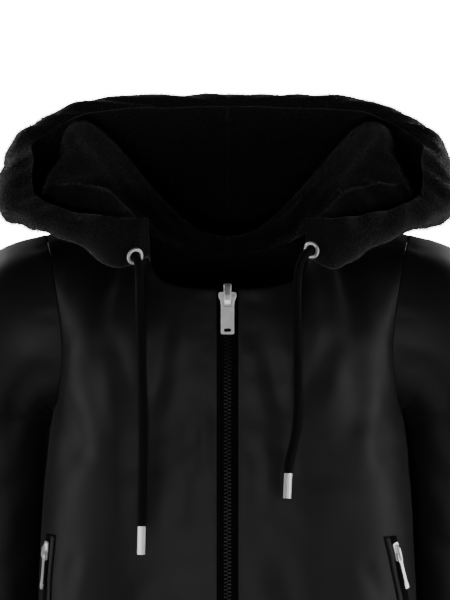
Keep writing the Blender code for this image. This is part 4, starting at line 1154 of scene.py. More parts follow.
@dataclass
class Shell:
    """Fronts, back and sleeves of satin-faced nylon."""

    body: BodyForm = field(default_factory=BodyForm)
    sleeve: SleeveForm = field(default_factory=SleeveForm)
    rows_per_cell: int = 5
    columns_per_cell: int = 5
    seam_reach: float = 2.6
    seam_drop: float = 0.6
    armhole_reach: float = 1.8
    armhole_drop: float = 0.25
    # Where a sleeve rests against the body below its armhole: the level, how far up and down and
    # how far front and back it reaches, the distance between the walls' middles where they touch,
    # and from how far off the cloth is drawn in.
    rest_level: float = -186.0
    rest_spread: tuple[float, float] = (12.0, 34.0)
    rest_touch: float = 1.7
    rest_draw: tuple[float, float] = (6.0, 12.0)
    still_reach: float = 16.0
    ease_reach: float = 45.0
    ease_rounds: int = 260
    stitch_inset: float = 2.6
    # Waves of the panels, each with its seed, length, height and lean.
    front_waves: dict[Side, Table] = field(default_factory=lambda: {
        Side.LEFT: ((3, 95.0, 0.75, 8.0), (21, 42.0, 0.22, 70.0)),
        Side.RIGHT: ((8, 95.0, 0.75, 8.0), (27, 42.0, 0.22, 70.0))})
    back_waves: Table = ((12, 110.0, 0.9, 12.0), (13, 46.0, 0.25, 80.0))
    # Puckers beside seams, each with its height, pitch and seed, and where across they are.
    zip_pucker: tuple[float, float, int] = (0.2, 23.0, 5)
    front_hem_pucker: tuple[float, float, int] = (0.9, 21.0, 6)
    back_hem_pucker: tuple[float, float, int] = (0.9, 21.0, 16)
    armhole_pucker: tuple[float, float, int] = (0.5, 24.0, 31)
    pucker_place: float = 9.0
    pucker_spread: float = 8.0
    pucker_start: float = 6.0
    # A sleeve: how far its creases' chart runs round it, waves by how many go round with their
    # heights, how much of an outward fold is kept, and, below a level, how far out from the
    # jacket's middle the cloth begins to be free to fold and over how far.
    sleeve_round: float = 420.0
    sleeve_waves: tuple[tuple[int, float], ...] = ((2, 0.5), (3, 0.45), (5, 0.3))
    outward_share: float = 0.8
    beside_level: float = -190.0
    beside_start: float = 200.0
    beside_reach: float = 25.0
    cloths: dict[str, Cloth] = field(default_factory=dict)
    hem_line: Array | None = None
    front_creases: dict[Side, tuple[Crease, ...]] = field(default_factory=FRONT_CREASES.copy)
    back_creases: tuple[Crease, ...] = BACK_CREASES
    sleeve_creases: dict[Side, tuple[Crease, ...]] = field(default_factory=SLEEVE_CREASES.copy)

    def coarse(self) -> tuple[list[Cloth], Array]:
        """Cloth pieces on the solids' own grids, whose seams share their points.

        Returns:
            The pieces, and the neckline under the hood.
        """
        front, front_neck = self.body.half(front=True)
        back_half, back_neck = self.body.half(front=False)
        back = np.concatenate((mirrored(back_half)[:, :0:-1], back_half), axis=1)
        underarm = len(front) - self.body.armhole_rows - 1
        armhole = np.concatenate((front[underarm:, -1], back_half[underarm + 1:-1, -1][::-1]))
        sleeve = self.sleeve.grid(armhole, self.body)
        pieces = [Cloth("satin_front_left", front),
                  Cloth("satin_front_right", mirrored(front), flip=True),
                  Cloth("satin_back", back, flip=True),
                  Cloth("satin_sleeve_left", sleeve, closed=True, flip=True),
                  Cloth("satin_sleeve_right", mirrored(sleeve), closed=True)]
        neck_line = np.concatenate((front_neck[self.body.collar_cells:], back_neck[::-1][1:]))
        return pieces, neck_line

    def shape(self, hood: "Hood") -> None:
        """Works out every piece of the shell, and the hood's grids on its neckline.

        Args:
            hood: the hood that is sewn to the neckline.
        """
        pieces, neck_line = self.coarse()
        hood_pieces = hood.coarse(neck_line, self.body)
        share_seam_normals(pieces + hood_pieces)
        by_name = {piece.name: piece for piece in pieces}
        back = by_name["satin_back"]
        for cloth in pieces:
            # The lower seam: a sleeve's rings run down to it, the other rows run up from it.
            row = -1 if cloth.closed else 0
            cloth.normals[row] = unit(cloth.normals[row] * np.array((1.0, 1.0, 0.0)))
        left, right = by_name["satin_front_left"], by_name["satin_front_right"]
        self.hem_line = np.concatenate((left.grid[0], back.grid[0, -2::-1],
                                        right.grid[0, -2::-1]))
        for name, piece in by_name.items():
            rows = border_shares(len(piece.grid) - 1, self.rows_per_cell)
            count = piece.grid.shape[1]
            if piece.closed:
                columns = np.arange(count * self.columns_per_cell) / self.columns_per_cell
            else:
                columns = border_shares(count - 1, self.columns_per_cell)
            self.cloths[name] = piece.refined(rows, columns)
        hood.refine(hood_pieces)

    def ease_corner(self, cloth: Cloth) -> None:
        """Smooths the panel up and down about the underarm's level, away from its borders."""
        level = self.body.rows[-1][0]
        free = np.exp(-((cloth.grid[..., 2] - level) / self.ease_reach) ** 2)
        for border in (Border.INNER, Border.OUTER):
            free = free * smooth_step(cloth.from_border(border) / self.ease_reach)
        free = free[1:-1, :, None]
        for _ in range(self.ease_rounds):
            middle = (cloth.grid[:-2] + cloth.grid[2:]) / 2.0
            cloth.grid[1:-1] += free * 0.5 * (middle - cloth.grid[1:-1])

    def still(self, cloth: Cloth, borders: tuple[Border, ...]) -> Array:
        """How free each point is to move: 0 at the borders, 1 away from them."""
        free = np.ones(cloth.grid.shape[:2])
        for border in borders:
            free *= smooth_step(cloth.from_border(border) / self.still_reach)
        return free

    def pucker(self, cloth: Cloth, border: Border, height: float, pitch: float, seed: int) -> Array:
        """Small waves beside a seam, where its thread draws the cloth in.

        Args:
            cloth: the piece.
            border: the seam's border.
            height: how high the waves are.
            pitch: their wavelength, about.
            seed: picks the waves.
        Returns:
            Distances in millimetres.
        """
        across = cloth.chart[..., 1 if border in (Border.INNER, Border.OUTER) else 0]
        waves = soft_waves(np.stack([across, across * 0.0], axis=2), seed, pitch, height)
        away = cloth.from_border(border)
        near = np.exp(-((away - self.pucker_place) / self.pucker_spread) ** 2)
        return waves * near * smooth_step(away / self.pucker_start)

    def fold_fronts(self) -> None:
        """Puts the creases and waves in the fronts."""
        for side in Side:
            cloth = self.cloths[f"satin_front_{side.value}"]
            self.ease_corner(cloth)
            chart = cloth.grid[..., (0, 2)]
            free = self.still(cloth, tuple(Border))
            moved = sum(soft_waves(cloth.chart, *waves) for waves in self.front_waves[side])
            for crease in self.front_creases[side]:
                moved += crease.distance(chart)
            cloth.push(moved * free)
            cloth.push(self.pucker(cloth, Border.INNER, *self.zip_pucker))
            cloth.push(self.pucker(cloth, Border.BOTTOM, *self.front_hem_pucker))
            for border in (Border.TOP, Border.BOTTOM):
                cloth.roll_border(border, self.seam_reach, self.seam_drop)
            cloth.roll_border(Border.OUTER, self.armhole_reach, self.armhole_drop)

    def fold_back(self) -> None:
        """Puts the creases and waves in the back."""
        cloth = self.cloths["satin_back"]
        self.ease_corner(cloth)
        chart = cloth.grid[..., (0, 2)]
        moved = sum(soft_waves(cloth.chart, *waves) for waves in self.back_waves)
        for crease in self.back_creases:
            moved += crease.distance(chart)
        cloth.push(moved * self.still(cloth, tuple(Border)))
        cloth.push(self.pucker(cloth, Border.BOTTOM, *self.back_hem_pucker))
        for border in Border:
            cloth.roll_border(border, self.seam_reach, self.seam_drop)

    def fold_sleeves(self) -> None:
        """Puts the creases and waves in the sleeves."""
        for side in Side:
            cloth = self.cloths[f"satin_sleeve_{side.value}"]
            turn = np.arange(cloth.grid.shape[1]) / cloth.grid.shape[1]
            round_it = np.broadcast_to(turn * self.sleeve_round, cloth.grid.shape[:2])
            chart = np.stack([round_it, cloth.grid[..., 2]], axis=2)
            moved = np.zeros(cloth.grid.shape[:2])
            for crease in self.sleeve_creases[side]:
                for lap in (-1.0, 0.0, 1.0):
                    moved += crease.distance(chart + np.array((lap * self.sleeve_round, 0.0)))
            circle = turn * 2.0 * math.pi
            for wave, height in self.sleeve_waves:
                moved += height * np.sin(wave * circle + cloth.grid[..., 2] / (38.0 + 9.0 * wave))
            clear = cloth.grid[..., 0] * side.sign - self.beside_start
            near_body = np.where(cloth.grid[..., 2] < self.beside_level,
                                 smooth_step(clear / self.beside_reach), 1.0)
            free = self.still(cloth, (Border.BOTTOM, Border.TOP)) * near_body
            cloth.push(np.where(moved > 0.0, moved * self.outward_share, moved) * free)
            cloth.push(self.pucker(cloth, Border.BOTTOM, *self.armhole_pucker) * near_body)
            self.rest_on_body(cloth, side)
            cloth.roll_border(Border.BOTTOM, self.armhole_reach, self.armhole_drop)
            cloth.roll_border(Border.TOP, self.seam_reach, self.seam_drop)

    def rest_on_body(self, cloth: Cloth, side: Side) -> None:
        """Lets a sleeve touch the body's side, just below the underarm seam.

        Args:
            cloth: the sleeve.
            side: which sleeve.
        """
        x, y, z = np.moveaxis(cloth.grid, 2, 0)
        tall, deep = self.rest_spread
        near = np.exp(-((z - self.rest_level) / tall) ** 4 - (y / deep) ** 4)
        gap = x * side.sign - self.sleeve.body_side(y, z, self.body) - self.rest_touch
        full, none = self.rest_draw
        near = near * smooth_step((none - gap) / (none - full)) * (gap > 0.0)
        near[0] = 0.0
        cloth.grid[..., 0] -= side.sign * gap * near

    def dress(self, wardrobe: Wardrobe) -> None:
        """Folds the pieces, makes them and hides their solids.

        Args:
            wardrobe: materials by name.
        """
        self.fold_fronts()
        self.fold_back()
        self.fold_sleeves()
        for name, cloth in self.cloths.items():
            node = name.removeprefix("satin_")
            piece = cloth.build(Slot.SHELL, wardrobe["satin"])
            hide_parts(node)
            log.info("%s: %d faces", name, len(piece.data.polygons))

    def topstitch(self, sewing: Sewing) -> None:
        """Sews the rows of stitches that show on the shell.

        Args:
            sewing: where the stitches are gathered.
        """
        for name, cloth in self.cloths.items():
            borders = [Border.BOTTOM]
            if "front" in name:
                borders.append(Border.INNER)
                borders.append(Border.TOP)
            if "sleeve" in name:
                borders = [Border.TOP]
            for border in borders:
                sewing.sew(*cloth.line_beside(border, self.stitch_inset))


# ---------------------------------------------------------------- rib bands
@dataclass
class RibBands:
    """The hem band and the cuffs."""

    rib_height: float = 1.6
    ribs_per_cell: int = 2
    points_per_rib: int = 6
    rows: int = 14
    hem_length: float = 62.0
    hem_draw: float = 3.0
    cuff_length: float = 66.0
    cuff_draw: float = 2.5
    rib_roundness: float = 0.8
    # The least share of a rib's height at the band's edges, and how far in it is full.
    edge_share: float = 0.55
    edge_reach: float = 5.0
    # The band's own waves: length, height, and where they start and are full.
    sway: tuple[float, float] = (70.0, 0.5)
    sway_from: float = 1.0
    sway_reach: float = 14.0

    def band(self, name: str, seam: Array, ribs: int, length: float, draw: float,
             centre: tuple[float, float], closed: bool, flip: bool) -> Cloth:
        """A band that hangs from a seam, with round ribs on its outer side.

        Args:
            name: the band's name.
            seam: the seam's points.
            ribs: ribs on each cell of the seam.
            length: how long it hangs.
            draw: how far it draws in towards its edge.
            centre: the middle that it draws in to.
            closed: the seam runs once round.
            flip: the face is on the other side.
        Returns:
            The band.
        """
        line = np.concatenate((seam, seam[:1])) if closed else seam
        top = split_cells(line, [ribs * self.points_per_rib] * (len(line) - 1))
        top = top[:-1] if closed else top
        inward = unit(np.asarray(centre) - top[:, :2])
        down = np.linspace(1.0, 0.0, self.rows + 1)[:, None]
        grid = np.repeat(top[None], self.rows + 1, axis=0)
        grid[..., :2] += (down * draw)[..., None] * inward[None]
        grid[..., 2] -= down * length
        cloth = Cloth(name, grid, closed, flip)
        place = np.arange(len(top)) / self.points_per_rib
        rib = np.abs(np.cos(math.pi * place)) ** self.rib_roundness
        ends = np.minimum(down, 1.0 - down)[:, 0] * length
        edge = self.edge_share
        softened = edge + (1.0 - edge) * smooth_step(ends / self.edge_reach)
        cloth.outside = cloth.outside + self.rib_height * rib[None] * softened[:, None]
        sway = soft_waves(cloth.chart, len(top), *self.sway)
        cloth.push(sway * smooth_step((ends[:, None] - self.sway_from) / self.sway_reach))
        return cloth

    def dress(self, shell: Shell, wardrobe: Wardrobe) -> None:
        """Makes the bands on the shell's lower seams.

        Args:
            shell: the shell that they hang from.
            wardrobe: materials by name.
        """
        hem = self.band("knit_hem", shell.hem_line, self.ribs_per_cell, self.hem_length,
                        self.hem_draw, (0.0, 0.0), False, False)
        piece = hem.build(Slot.KNIT, wardrobe["knit"])
        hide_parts("hem_rib")
        log.info("hem band: %d faces", len(piece.data.polygons))
        per_cell = shell.columns_per_cell
        for side in Side:
            sleeve = shell.cloths[f"satin_sleeve_{side.value}"]
            _, x, y, _, _ = shell.sleeve.rings[-1]
            cuff = self.band(f"knit_cuff_{side.value}", sleeve.grid[-1, ::per_cell],
                             self.ribs_per_cell, self.cuff_length, self.cuff_draw,
                             (x * side.sign, y), True, side is Side.RIGHT)
            piece = cuff.build(Slot.KNIT, wardrobe["knit"])
            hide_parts(f"cuff_{side.value}")
            log.info("%s: %d faces", cuff.name, len(piece.data.polygons))


# ---------------------------------------------------------------- hood
@dataclass
class Hood:
    """Two plush panels with their pile."""

    form: HoodForm = field(default_factory=HoodForm)
    rows_per_cell: int = 5
    columns_per_cell: int = 4
    seam_lift: float = 0.3
    pile_depth: float = 1.5
    pile_length: float = 3.4
    pile_width: float = 0.42
    pile_lean: float = 0.75
    blades_per_side: int = 46000
    bald_radius: float = 9.5
    pile_stray: float = 0.34
    pile_swirl: float = 0.5
    swirl_lengths: tuple[float, float] = (23.0, 31.0)
    pile_shares: tuple[float, float] = (0.7, 1.15)
    least_pile: float = 0.25
    least_ground: float = 0.5
    casing_row: float = 13.0
    casing_groove: float = 1.0
    casing_spread: float = 0.28
    # How far from the neck seam and from the centre seam the plush is free to fold, its waves'
    # length, height and lean with the halves' seeds, and how the outer face's creases fade out
    # from one row to the next and where the face turns away.
    free_reach: tuple[float, float] = (26.0, 18.0)
    waves: tuple[float, float, float] = (52.0, 1.1, 20.0)
    wave_seeds: tuple[int, int] = (40, 44)
    pile_seeds: tuple[int, int] = (100, 101)
    outer_fade: float = 1.5
    outer_turn: float = 0.4
    edge_places: tuple[float, ...] = (0.4,)
    outer_row: float = 9.5
    creases: dict[Side, tuple[Crease, ...]] = field(default_factory=HOOD_CREASES.copy)
    cloths: dict[Side, Cloth] = field(default_factory=dict)

    def coarse(self, neck_line: Array, body: BodyForm) -> list[Cloth]:
        """The two halves on the solids' own grids.

        Args:
            neck_line: the neckline that they are sewn to.
            body: the body it belongs to.
        Returns:
            The left and the right half.
        """
        grid = self.form.grid(neck_line, body)
        halves = [Cloth("plush_hood_left", grid),
                  Cloth("plush_hood_right", mirrored(grid), flip=True)]
        form = self.form
        for half in halves:
            reach = half.from_border(Border.BOTTOM)
            seam = np.minimum(reach / form.seam_reach, 1.0)
            end = np.minimum(np.arange(grid.shape[1]) / form.end_cells, 1.0)
            wall = np.minimum(form.seam_wall + (form.wall - form.seam_wall) * seam,
                              form.end_wall + (form.wall - form.end_wall) * end)
            half.outside = wall / 2.0
            half.inside = wall / 2.0
        return halves

    def refine(self, halves: list[Cloth]) -> None:
        """Reads the halves at finer places, with the neck seam's row lifted a little."""
        for side, half in zip(Side, halves):
            half.grid[0, :, 2] += self.seam_lift
            rows = border_shares(len(half.grid) - 1, self.rows_per_cell, self.edge_places)
            columns = border_shares(half.grid.shape[1] - 1, self.columns_per_cell,
                                    self.edge_places)
            self.cloths[side] = half.refined(rows, columns)

    def fold(self) -> None:
        """Draws in the casing's seam, and lets the plush undulate."""
        for side, cloth in self.cloths.items():
            rows = border_shares(sum(self.form.step_rows), self.rows_per_cell, self.edge_places)
            neck, centre = self.free_reach
            free = smooth_step(cloth.from_border(Border.BOTTOM) / neck)
            free *= smooth_step(cloth.from_border(Border.OUTER) / centre)
            seed = self.wave_seeds[0 if side is Side.LEFT else 1]
            cloth.push(free * soft_waves(cloth.chart, seed, *self.waves))
            outer = smooth_step((rows - self.outer_row) / self.outer_fade)[:, None]
            outer = outer * smooth_step(-cloth.normals[..., 1] / self.outer_turn)
            for crease in self.creases[side]:
                cloth.push(free * outer * crease.distance(cloth.grid[..., (0, 2)]))
            groove = np.exp(-((rows - self.casing_row) / self.casing_spread) ** 2)
            cloth.outside -= self.casing_groove * groove[:, None]
            for depth in (cloth.outside, cloth.inside):
                depth -= np.minimum(self.pile_depth, depth - self.least_ground)

    def pile(self, cloth: Cloth, side: Side, bald: Array) -> tuple[Array, Array]:
        """Blades of pile on both sides of a half.

        Args:
            cloth: the half's ground.
            side: which half.
            bald: middles of the round places with no pile.
        Returns:
            The blades' points, three to a blade, and their flat places.
        """
        picks = np.random.default_rng(self.pile_seeds[0 if side is Side.LEFT else 1])
        first, second = self.swirl_lengths
        blades = []
        charts = []
        for facing, depth in ((1.0, cloth.outside), (-1.0, cloth.inside)):
            surface = cloth.grid + facing * cloth.normals * depth[..., None]
            across = surface[1:, 1:] - surface[:-1, :-1]
            other = surface[1:, :-1] - surface[:-1, 1:]
            area = np.linalg.norm(np.cross(across, other), axis=2) / 2.0
            chosen = picks.choice(area.size, self.blades_per_side, p=(area / area.sum()).ravel())
            row, column = np.unravel_index(chosen, area.shape)
            down, over = picks.random((2, self.blades_per_side))[..., None]

            def spot(values: Array) -> Array:
                """Values of the grid at the blades' roots."""
                low = (1.0 - over) * values[row, column] + over * values[row, column + 1]
                high = (1.0 - over) * values[row + 1, column] + over * values[row + 1, column + 1]
                return (1.0 - down) * low + down * high

            root = spot(surface)
            out = unit(spot(cloth.normals)) * facing
            run = unit(surface[row + 1, column] - surface[row, column])
            # slot: not used.
            swirl = np.sin(root[:, :1] / first + np.cos(root[:, 2:] / second) * 2.0)
            turned = unit(run + self.pile_swirl * swirl * np.cross(run, out))
            stray = picks.normal(0.0, self.pile_stray, (self.blades_per_side, 3))
            way = unit(out + self.pile_lean * turned + stray)
            length = self.pile_length * picks.uniform(*self.pile_shares, (self.blades_per_side, 1))
            room = np.clip(spot(depth[..., None]), self.least_pile, 1.0)
            wide = unit(np.cross(way, picks.normal(0.0, 1.0, (self.blades_per_side, 3))))
            wide = wide * self.pile_width / 2.0
            away = np.min([np.linalg.norm(root - middle, axis=1) for middle in bald], axis=0)
            keep = away > self.bald_radius
            blade = np.stack([root + wide, root - wide, root + way * length * room], axis=1)
            blades.append(blade[keep])
            charts.append(np.repeat(spot(cloth.chart)[keep], 3, axis=0))
        return np.concatenate(blades).reshape(-1, 3), np.concatenate(charts)

    def dress(self, bald: Array, wardrobe: Wardrobe) -> None:
        """Makes the two halves and their pile.

        Args:
            bald: middles of the round places with no pile.
            wardrobe: materials by name.
        """
        self.fold()
        for side, cloth in self.cloths.items():
            piece = cloth.build(Slot.PLUSH, wardrobe["plush"])
            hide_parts(f"hood_{side.value}")
            points, chart = self.pile(cloth, side, bald)
            faces = np.arange(len(points)).reshape(-1, 3)
            pile = mesh_object(f"plush_pile_{side.value}", points, faces,
                               wardrobe["pile"])
            add_chart(pile.data, chart)
            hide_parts(f"hood_{side.value}")
            log.info("%s: %d faces and %d blades", cloth.name, len(piece.data.polygons), len(faces))


# ---------------------------------------------------------------- front zip
@dataclass
class FrontZip:
    """Two woven tapes and the closed row of moulded teeth."""

    bands: RibBands = field(default_factory=RibBands)
    tape_width: float = 16.0
    tape_wall: float = 1.0
    behind: float = 1.9
    tooth_pitch: float = 3.7
    # Half a tooth's outline, from its rounded head to its foot: across, and up along the zip. Then
    # its heights over the tape, with how much of the outline is left there.
    tooth_outline: Table = ((-0.9, 0.35), (-0.4, 0.8), (1.0, 0.7875), (1.5, 1.05), (3.9, 1.05))
    tooth_levels: Table = ((0.1, 1.0), (2.0, 1.0), (2.45, 0.72))
    lowest_tooth: float = 3.0
    top_room: float = 6.0
    sharp_angle: float = 35.0
    rows: int = 150
    # Places across a tape, and how much its corded edge stands up at the third and fourth.
    tape_columns: tuple[float, ...] = (0.15, 1.2, 3.4, 4.4, 8.0, 12.0, 16.0)
    cord_rise: tuple[float, float] = (0.5, 0.3)

    def edge(self, cloth: Cloth) -> tuple[Array, Array]:
        """The zip's line from the hem band's edge to the neckline, and the way it faces."""
        low = cloth.grid[:1, 0] + np.array((0.0, self.bands.hem_draw, -self.bands.hem_length))
        line = even_steps(np.concatenate((low, cloth.grid[:, 0])), self.rows)
        ways = np.cross(np.gradient(line, axis=0), np.array((1.0, 0.0, 0.0)))
        ways *= -np.sign(ways[:, 1:2])
        return line, unit(ways)

    def tape(self, side: Side, line: Array, ways: Array) -> Cloth:
        """One tape, flat behind the panel's edge."""
        middle = line - ways * self.behind
        grid = np.repeat(middle[:, None, :], len(self.tape_columns), axis=1)
        grid[..., 0] = np.array(self.tape_columns) * side.sign
        cloth = Cloth(f"woven_zip_tape_{side.value}", grid, flip=side is Side.RIGHT,
                      wall=self.tape_wall)
        cloth.outside[:, 2:4] += self.cord_rise
        return cloth

    def teeth(self, side: Side, line: Array, ways: Array) -> tuple[Array, Array]:
        """One side's teeth.

        Args:
            side: which side.
            line: the zip's line, from below.
            ways: the way it faces.
        Returns:
            The teeth's points and faces.
        """
        along = lengths_along(line)
        start = self.lowest_tooth + (0.0 if side is Side.LEFT else self.tooth_pitch / 2.0)
        places = np.arange(start, along[-1] - self.top_room, self.tooth_pitch)
        middle = read_along(line, along, places)
        out = unit(read_along(ways, along, places))
        up = np.cross(np.array((1.0, 0.0, 0.0)), out) * -1.0
        upper = self.tooth_outline
        outline = upper + tuple((across, -height) for across, height in upper[::-1])
        centre = (upper[0][0] + upper[-1][0]) / 2.0
        points = []
        for depth, share in self.tooth_levels:
            for across, height in outline:
                over = (centre + (across - centre) * (0.5 + 0.5 * share)) * side.sign
                spot = middle * np.array((0.0, 1.0, 1.0)) - out * self.behind
                spot = spot + out * depth + up * (height * share)
                points.append(spot + np.array((over, 0.0, 0.0)))
        index = point_numbers(len(self.tooth_levels), len(outline), closed=True)
        faces = np.concatenate((grid_quads(index), cap_quads(index[-1, :-1])))
        if side is Side.LEFT:
            faces = faces[:, ::-1]
        every = np.stack(points, axis=1)
        numbers = np.arange(len(every))[:, None, None] * every.shape[1]
        return every.reshape(-1, 3), (numbers + faces[None]).reshape(-1, 4)

    def dress(self, shell: Shell, wardrobe: Wardrobe) -> None:
        """Makes the tapes and the teeth.

        Args:
            shell: the shell whose fronts they are sewn to.
            wardrobe: materials by name.
        """
        for side in Side:
            line, ways = self.edge(shell.cloths[f"satin_front_{side.value}"])
            tape = self.tape(side, line, ways)
            piece = tape.build(Slot.TAPE, wardrobe["tape"])
            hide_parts(f"zip_tape_{side.value}")
            points, faces = self.teeth(side, line, ways)
            teeth = mesh_object(f"moulded_teeth_{side.value}", points, faces,
                                wardrobe["teeth"])
            teeth.data.set_sharp_from_angle(angle=math.radians(self.sharp_angle))
            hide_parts(f"zip_tape_{side.value}")
            log.info("%s zip tape: %d tooth faces", side.value, len(faces))


# ---------------------------------------------------------------- pockets
@dataclass
class Pockets:
    """The slanting pockets' tapes, small coils and welts."""

    top: float = -303.0
    bottom: float = -462.0
    rows: int = 60
    lift: float = 0.7
    tape_wall: float = 1.0
    welt_wall: float = 2.4
    # How far each opening's ends are from the side seam.
    reaches: dict[Side, tuple[float, float]] = field(
        default_factory=lambda: {Side.LEFT: (91.0, 45.0), Side.RIGHT: (65.0, 56.0)})
    tape_columns: tuple[float, ...] = (-5.0, -3.2, -1.6, 0.0, 1.6, 3.2, 5.0)
    welt_columns: tuple[float, ...] = (5.5, 6.2, 7.5, 9.0, 10.5, 11.8, 12.5)
    coil_pitch: float = 1.5
    # A loop of the coil: half its width, its slant, and its pitch, length, width and height.
    coil_half: float = 1.25
    coil_slant: float = 0.25
    coil_loop: tuple[float, ...] = (2.5, 2.4, 1.1, 0.55)
    # How full the welt is across.
    welt_profile: tuple[float, ...] = (0.3, 0.5, 0.72, 0.8, 0.72, 0.5, 0.3)

    def spot(self, cloth: Cloth, height: float, reach: float) -> tuple[Array, Array]:
        """A point of a front's face, found by height and by distance from its side seam."""
        levels = cloth.grid[:, -1, 2]
        row = np.interp(height, levels, np.arange(len(levels)))
        low = int(min(row, len(levels) - 2))
        share = row - low
        face = cloth.grid + cloth.normals * cloth.outside[..., None]
        line = (1.0 - share) * face[low] + share * face[low + 1]
        facing = (1.0 - share) * cloth.normals[low] + share * cloth.normals[low + 1]
        from_side = lengths_along(line[::-1])[::-1]
        place = np.interp(-reach, -from_side, np.arange(len(line)))
        cell = int(min(place, len(line) - 2))
        part = place - cell
        point = (1.0 - part) * line[cell] + part * line[cell + 1]
        return point, unit((1.0 - part) * facing[cell] + part * facing[cell + 1])

    def strip(self, name: str, side: Side, cloth: Cloth, columns: tuple[float, ...],
              wall: float) -> Cloth:
        """A strip along the opening, lifted from the front's face.

        Args:
            name: the strip's name.
            side: which pocket.
            cloth: the front that it lies on.
            columns: places across the opening, away from the side seam.
            wall: the strip's thickness.
        Returns:
            The strip.
        """
        top_reach, bottom_reach = self.reaches[side]
        grid = np.zeros((self.rows + 1, len(columns), 3))
        normals = np.zeros_like(grid)
        for row, height in enumerate(np.linspace(self.bottom, self.top, self.rows + 1)):
            share = (height - self.top) / (self.bottom - self.top)
            reach = top_reach + share * (bottom_reach - top_reach)
            for column, offset in enumerate(columns):
                point, normal = self.spot(cloth, height, reach + offset)
                grid[row, column] = point + normal * self.lift
                normals[row, column] = normal
        strip = Cloth(name, grid, wall=wall, flip=side is Side.LEFT)
        strip.normals = normals
        strip.inside[:] = 0.0
        strip.outside[:] = wall
        return strip

    def coil(self, tape: Cloth, name: str, wardrobe: Wardrobe) -> Piece:
        """The small closed coil down a pocket tape's middle, as short slanted loops.

        Args:
            tape: the tape.
            name: the coil's name.
            wardrobe: materials by name.
        Returns:
            The coil.
        """
        loops = Sewing(name, *self.coil_loop)
        middle = tape.grid[:, 3] + tape.normals[:, 3] * tape.outside[0, 3]
        along = lengths_along(middle)
        across = unit(tape.grid[:, 4] - tape.grid[:, 2])
        for place in np.arange(self.coil_pitch, along[-1], self.coil_pitch):
            spot, way, out = (read_along(values, along, place)
                              for values in (middle, across, tape.normals[:, 3]))
            half = way * self.coil_half + np.cross(way, out) * self.coil_slant
            loops.sew(np.stack([spot - half, spot + half]), np.stack([out, out]))
        return loops.build(Slot.TAPE, wardrobe["teeth"])

    def dress(self, shell: Shell, sewing: Sewing, wardrobe: Wardrobe) -> None:
        """Makes both pockets' soft parts.

        Args:
            shell: the shell whose fronts they are in.
            sewing: where their stitches are gathered.
            wardrobe: materials by name.
        """
        for side in Side:
            cloth = shell.cloths[f"satin_front_{side.value}"]
            tape = self.strip(f"woven_pocket_tape_{side.value}", side, cloth, self.tape_columns,
                              self.tape_wall)
            piece = tape.build(Slot.TAPE, wardrobe["tape"])
            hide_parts(f"pocket_tape_{side.value}")
            coil = self.coil(tape, f"pocket_coil_{side.value}", wardrobe)
            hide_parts(f"pocket_tape_{side.value}")
            welt = self.strip(f"satin_welt_{side.value}", side, cloth, self.welt_columns,
                              self.welt_wall)
            welt.outside = welt.outside * np.array(self.welt_profile)
            piece = welt.build(Slot.SHELL, wardrobe["satin"])
            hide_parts(f"pocket_welt_{side.value}")
            for column in (1, -2):
                facing = welt.normals[:, column]
                face = welt.grid[:, column] + facing * welt.outside[:, column, None]
                sewing.sew(face, facing)
            log.info("%s pocket done", side.value)


# ---------------------------------------------------------------- drawcord
@dataclass(frozen=True)
class CordEnd:
    """A free end of the drawcord: where it leaves its eyelet, and the points it hangs through."""

    side: Side
    start: Point
    facing: Point
    route: tuple[Point, ...]
    length: float


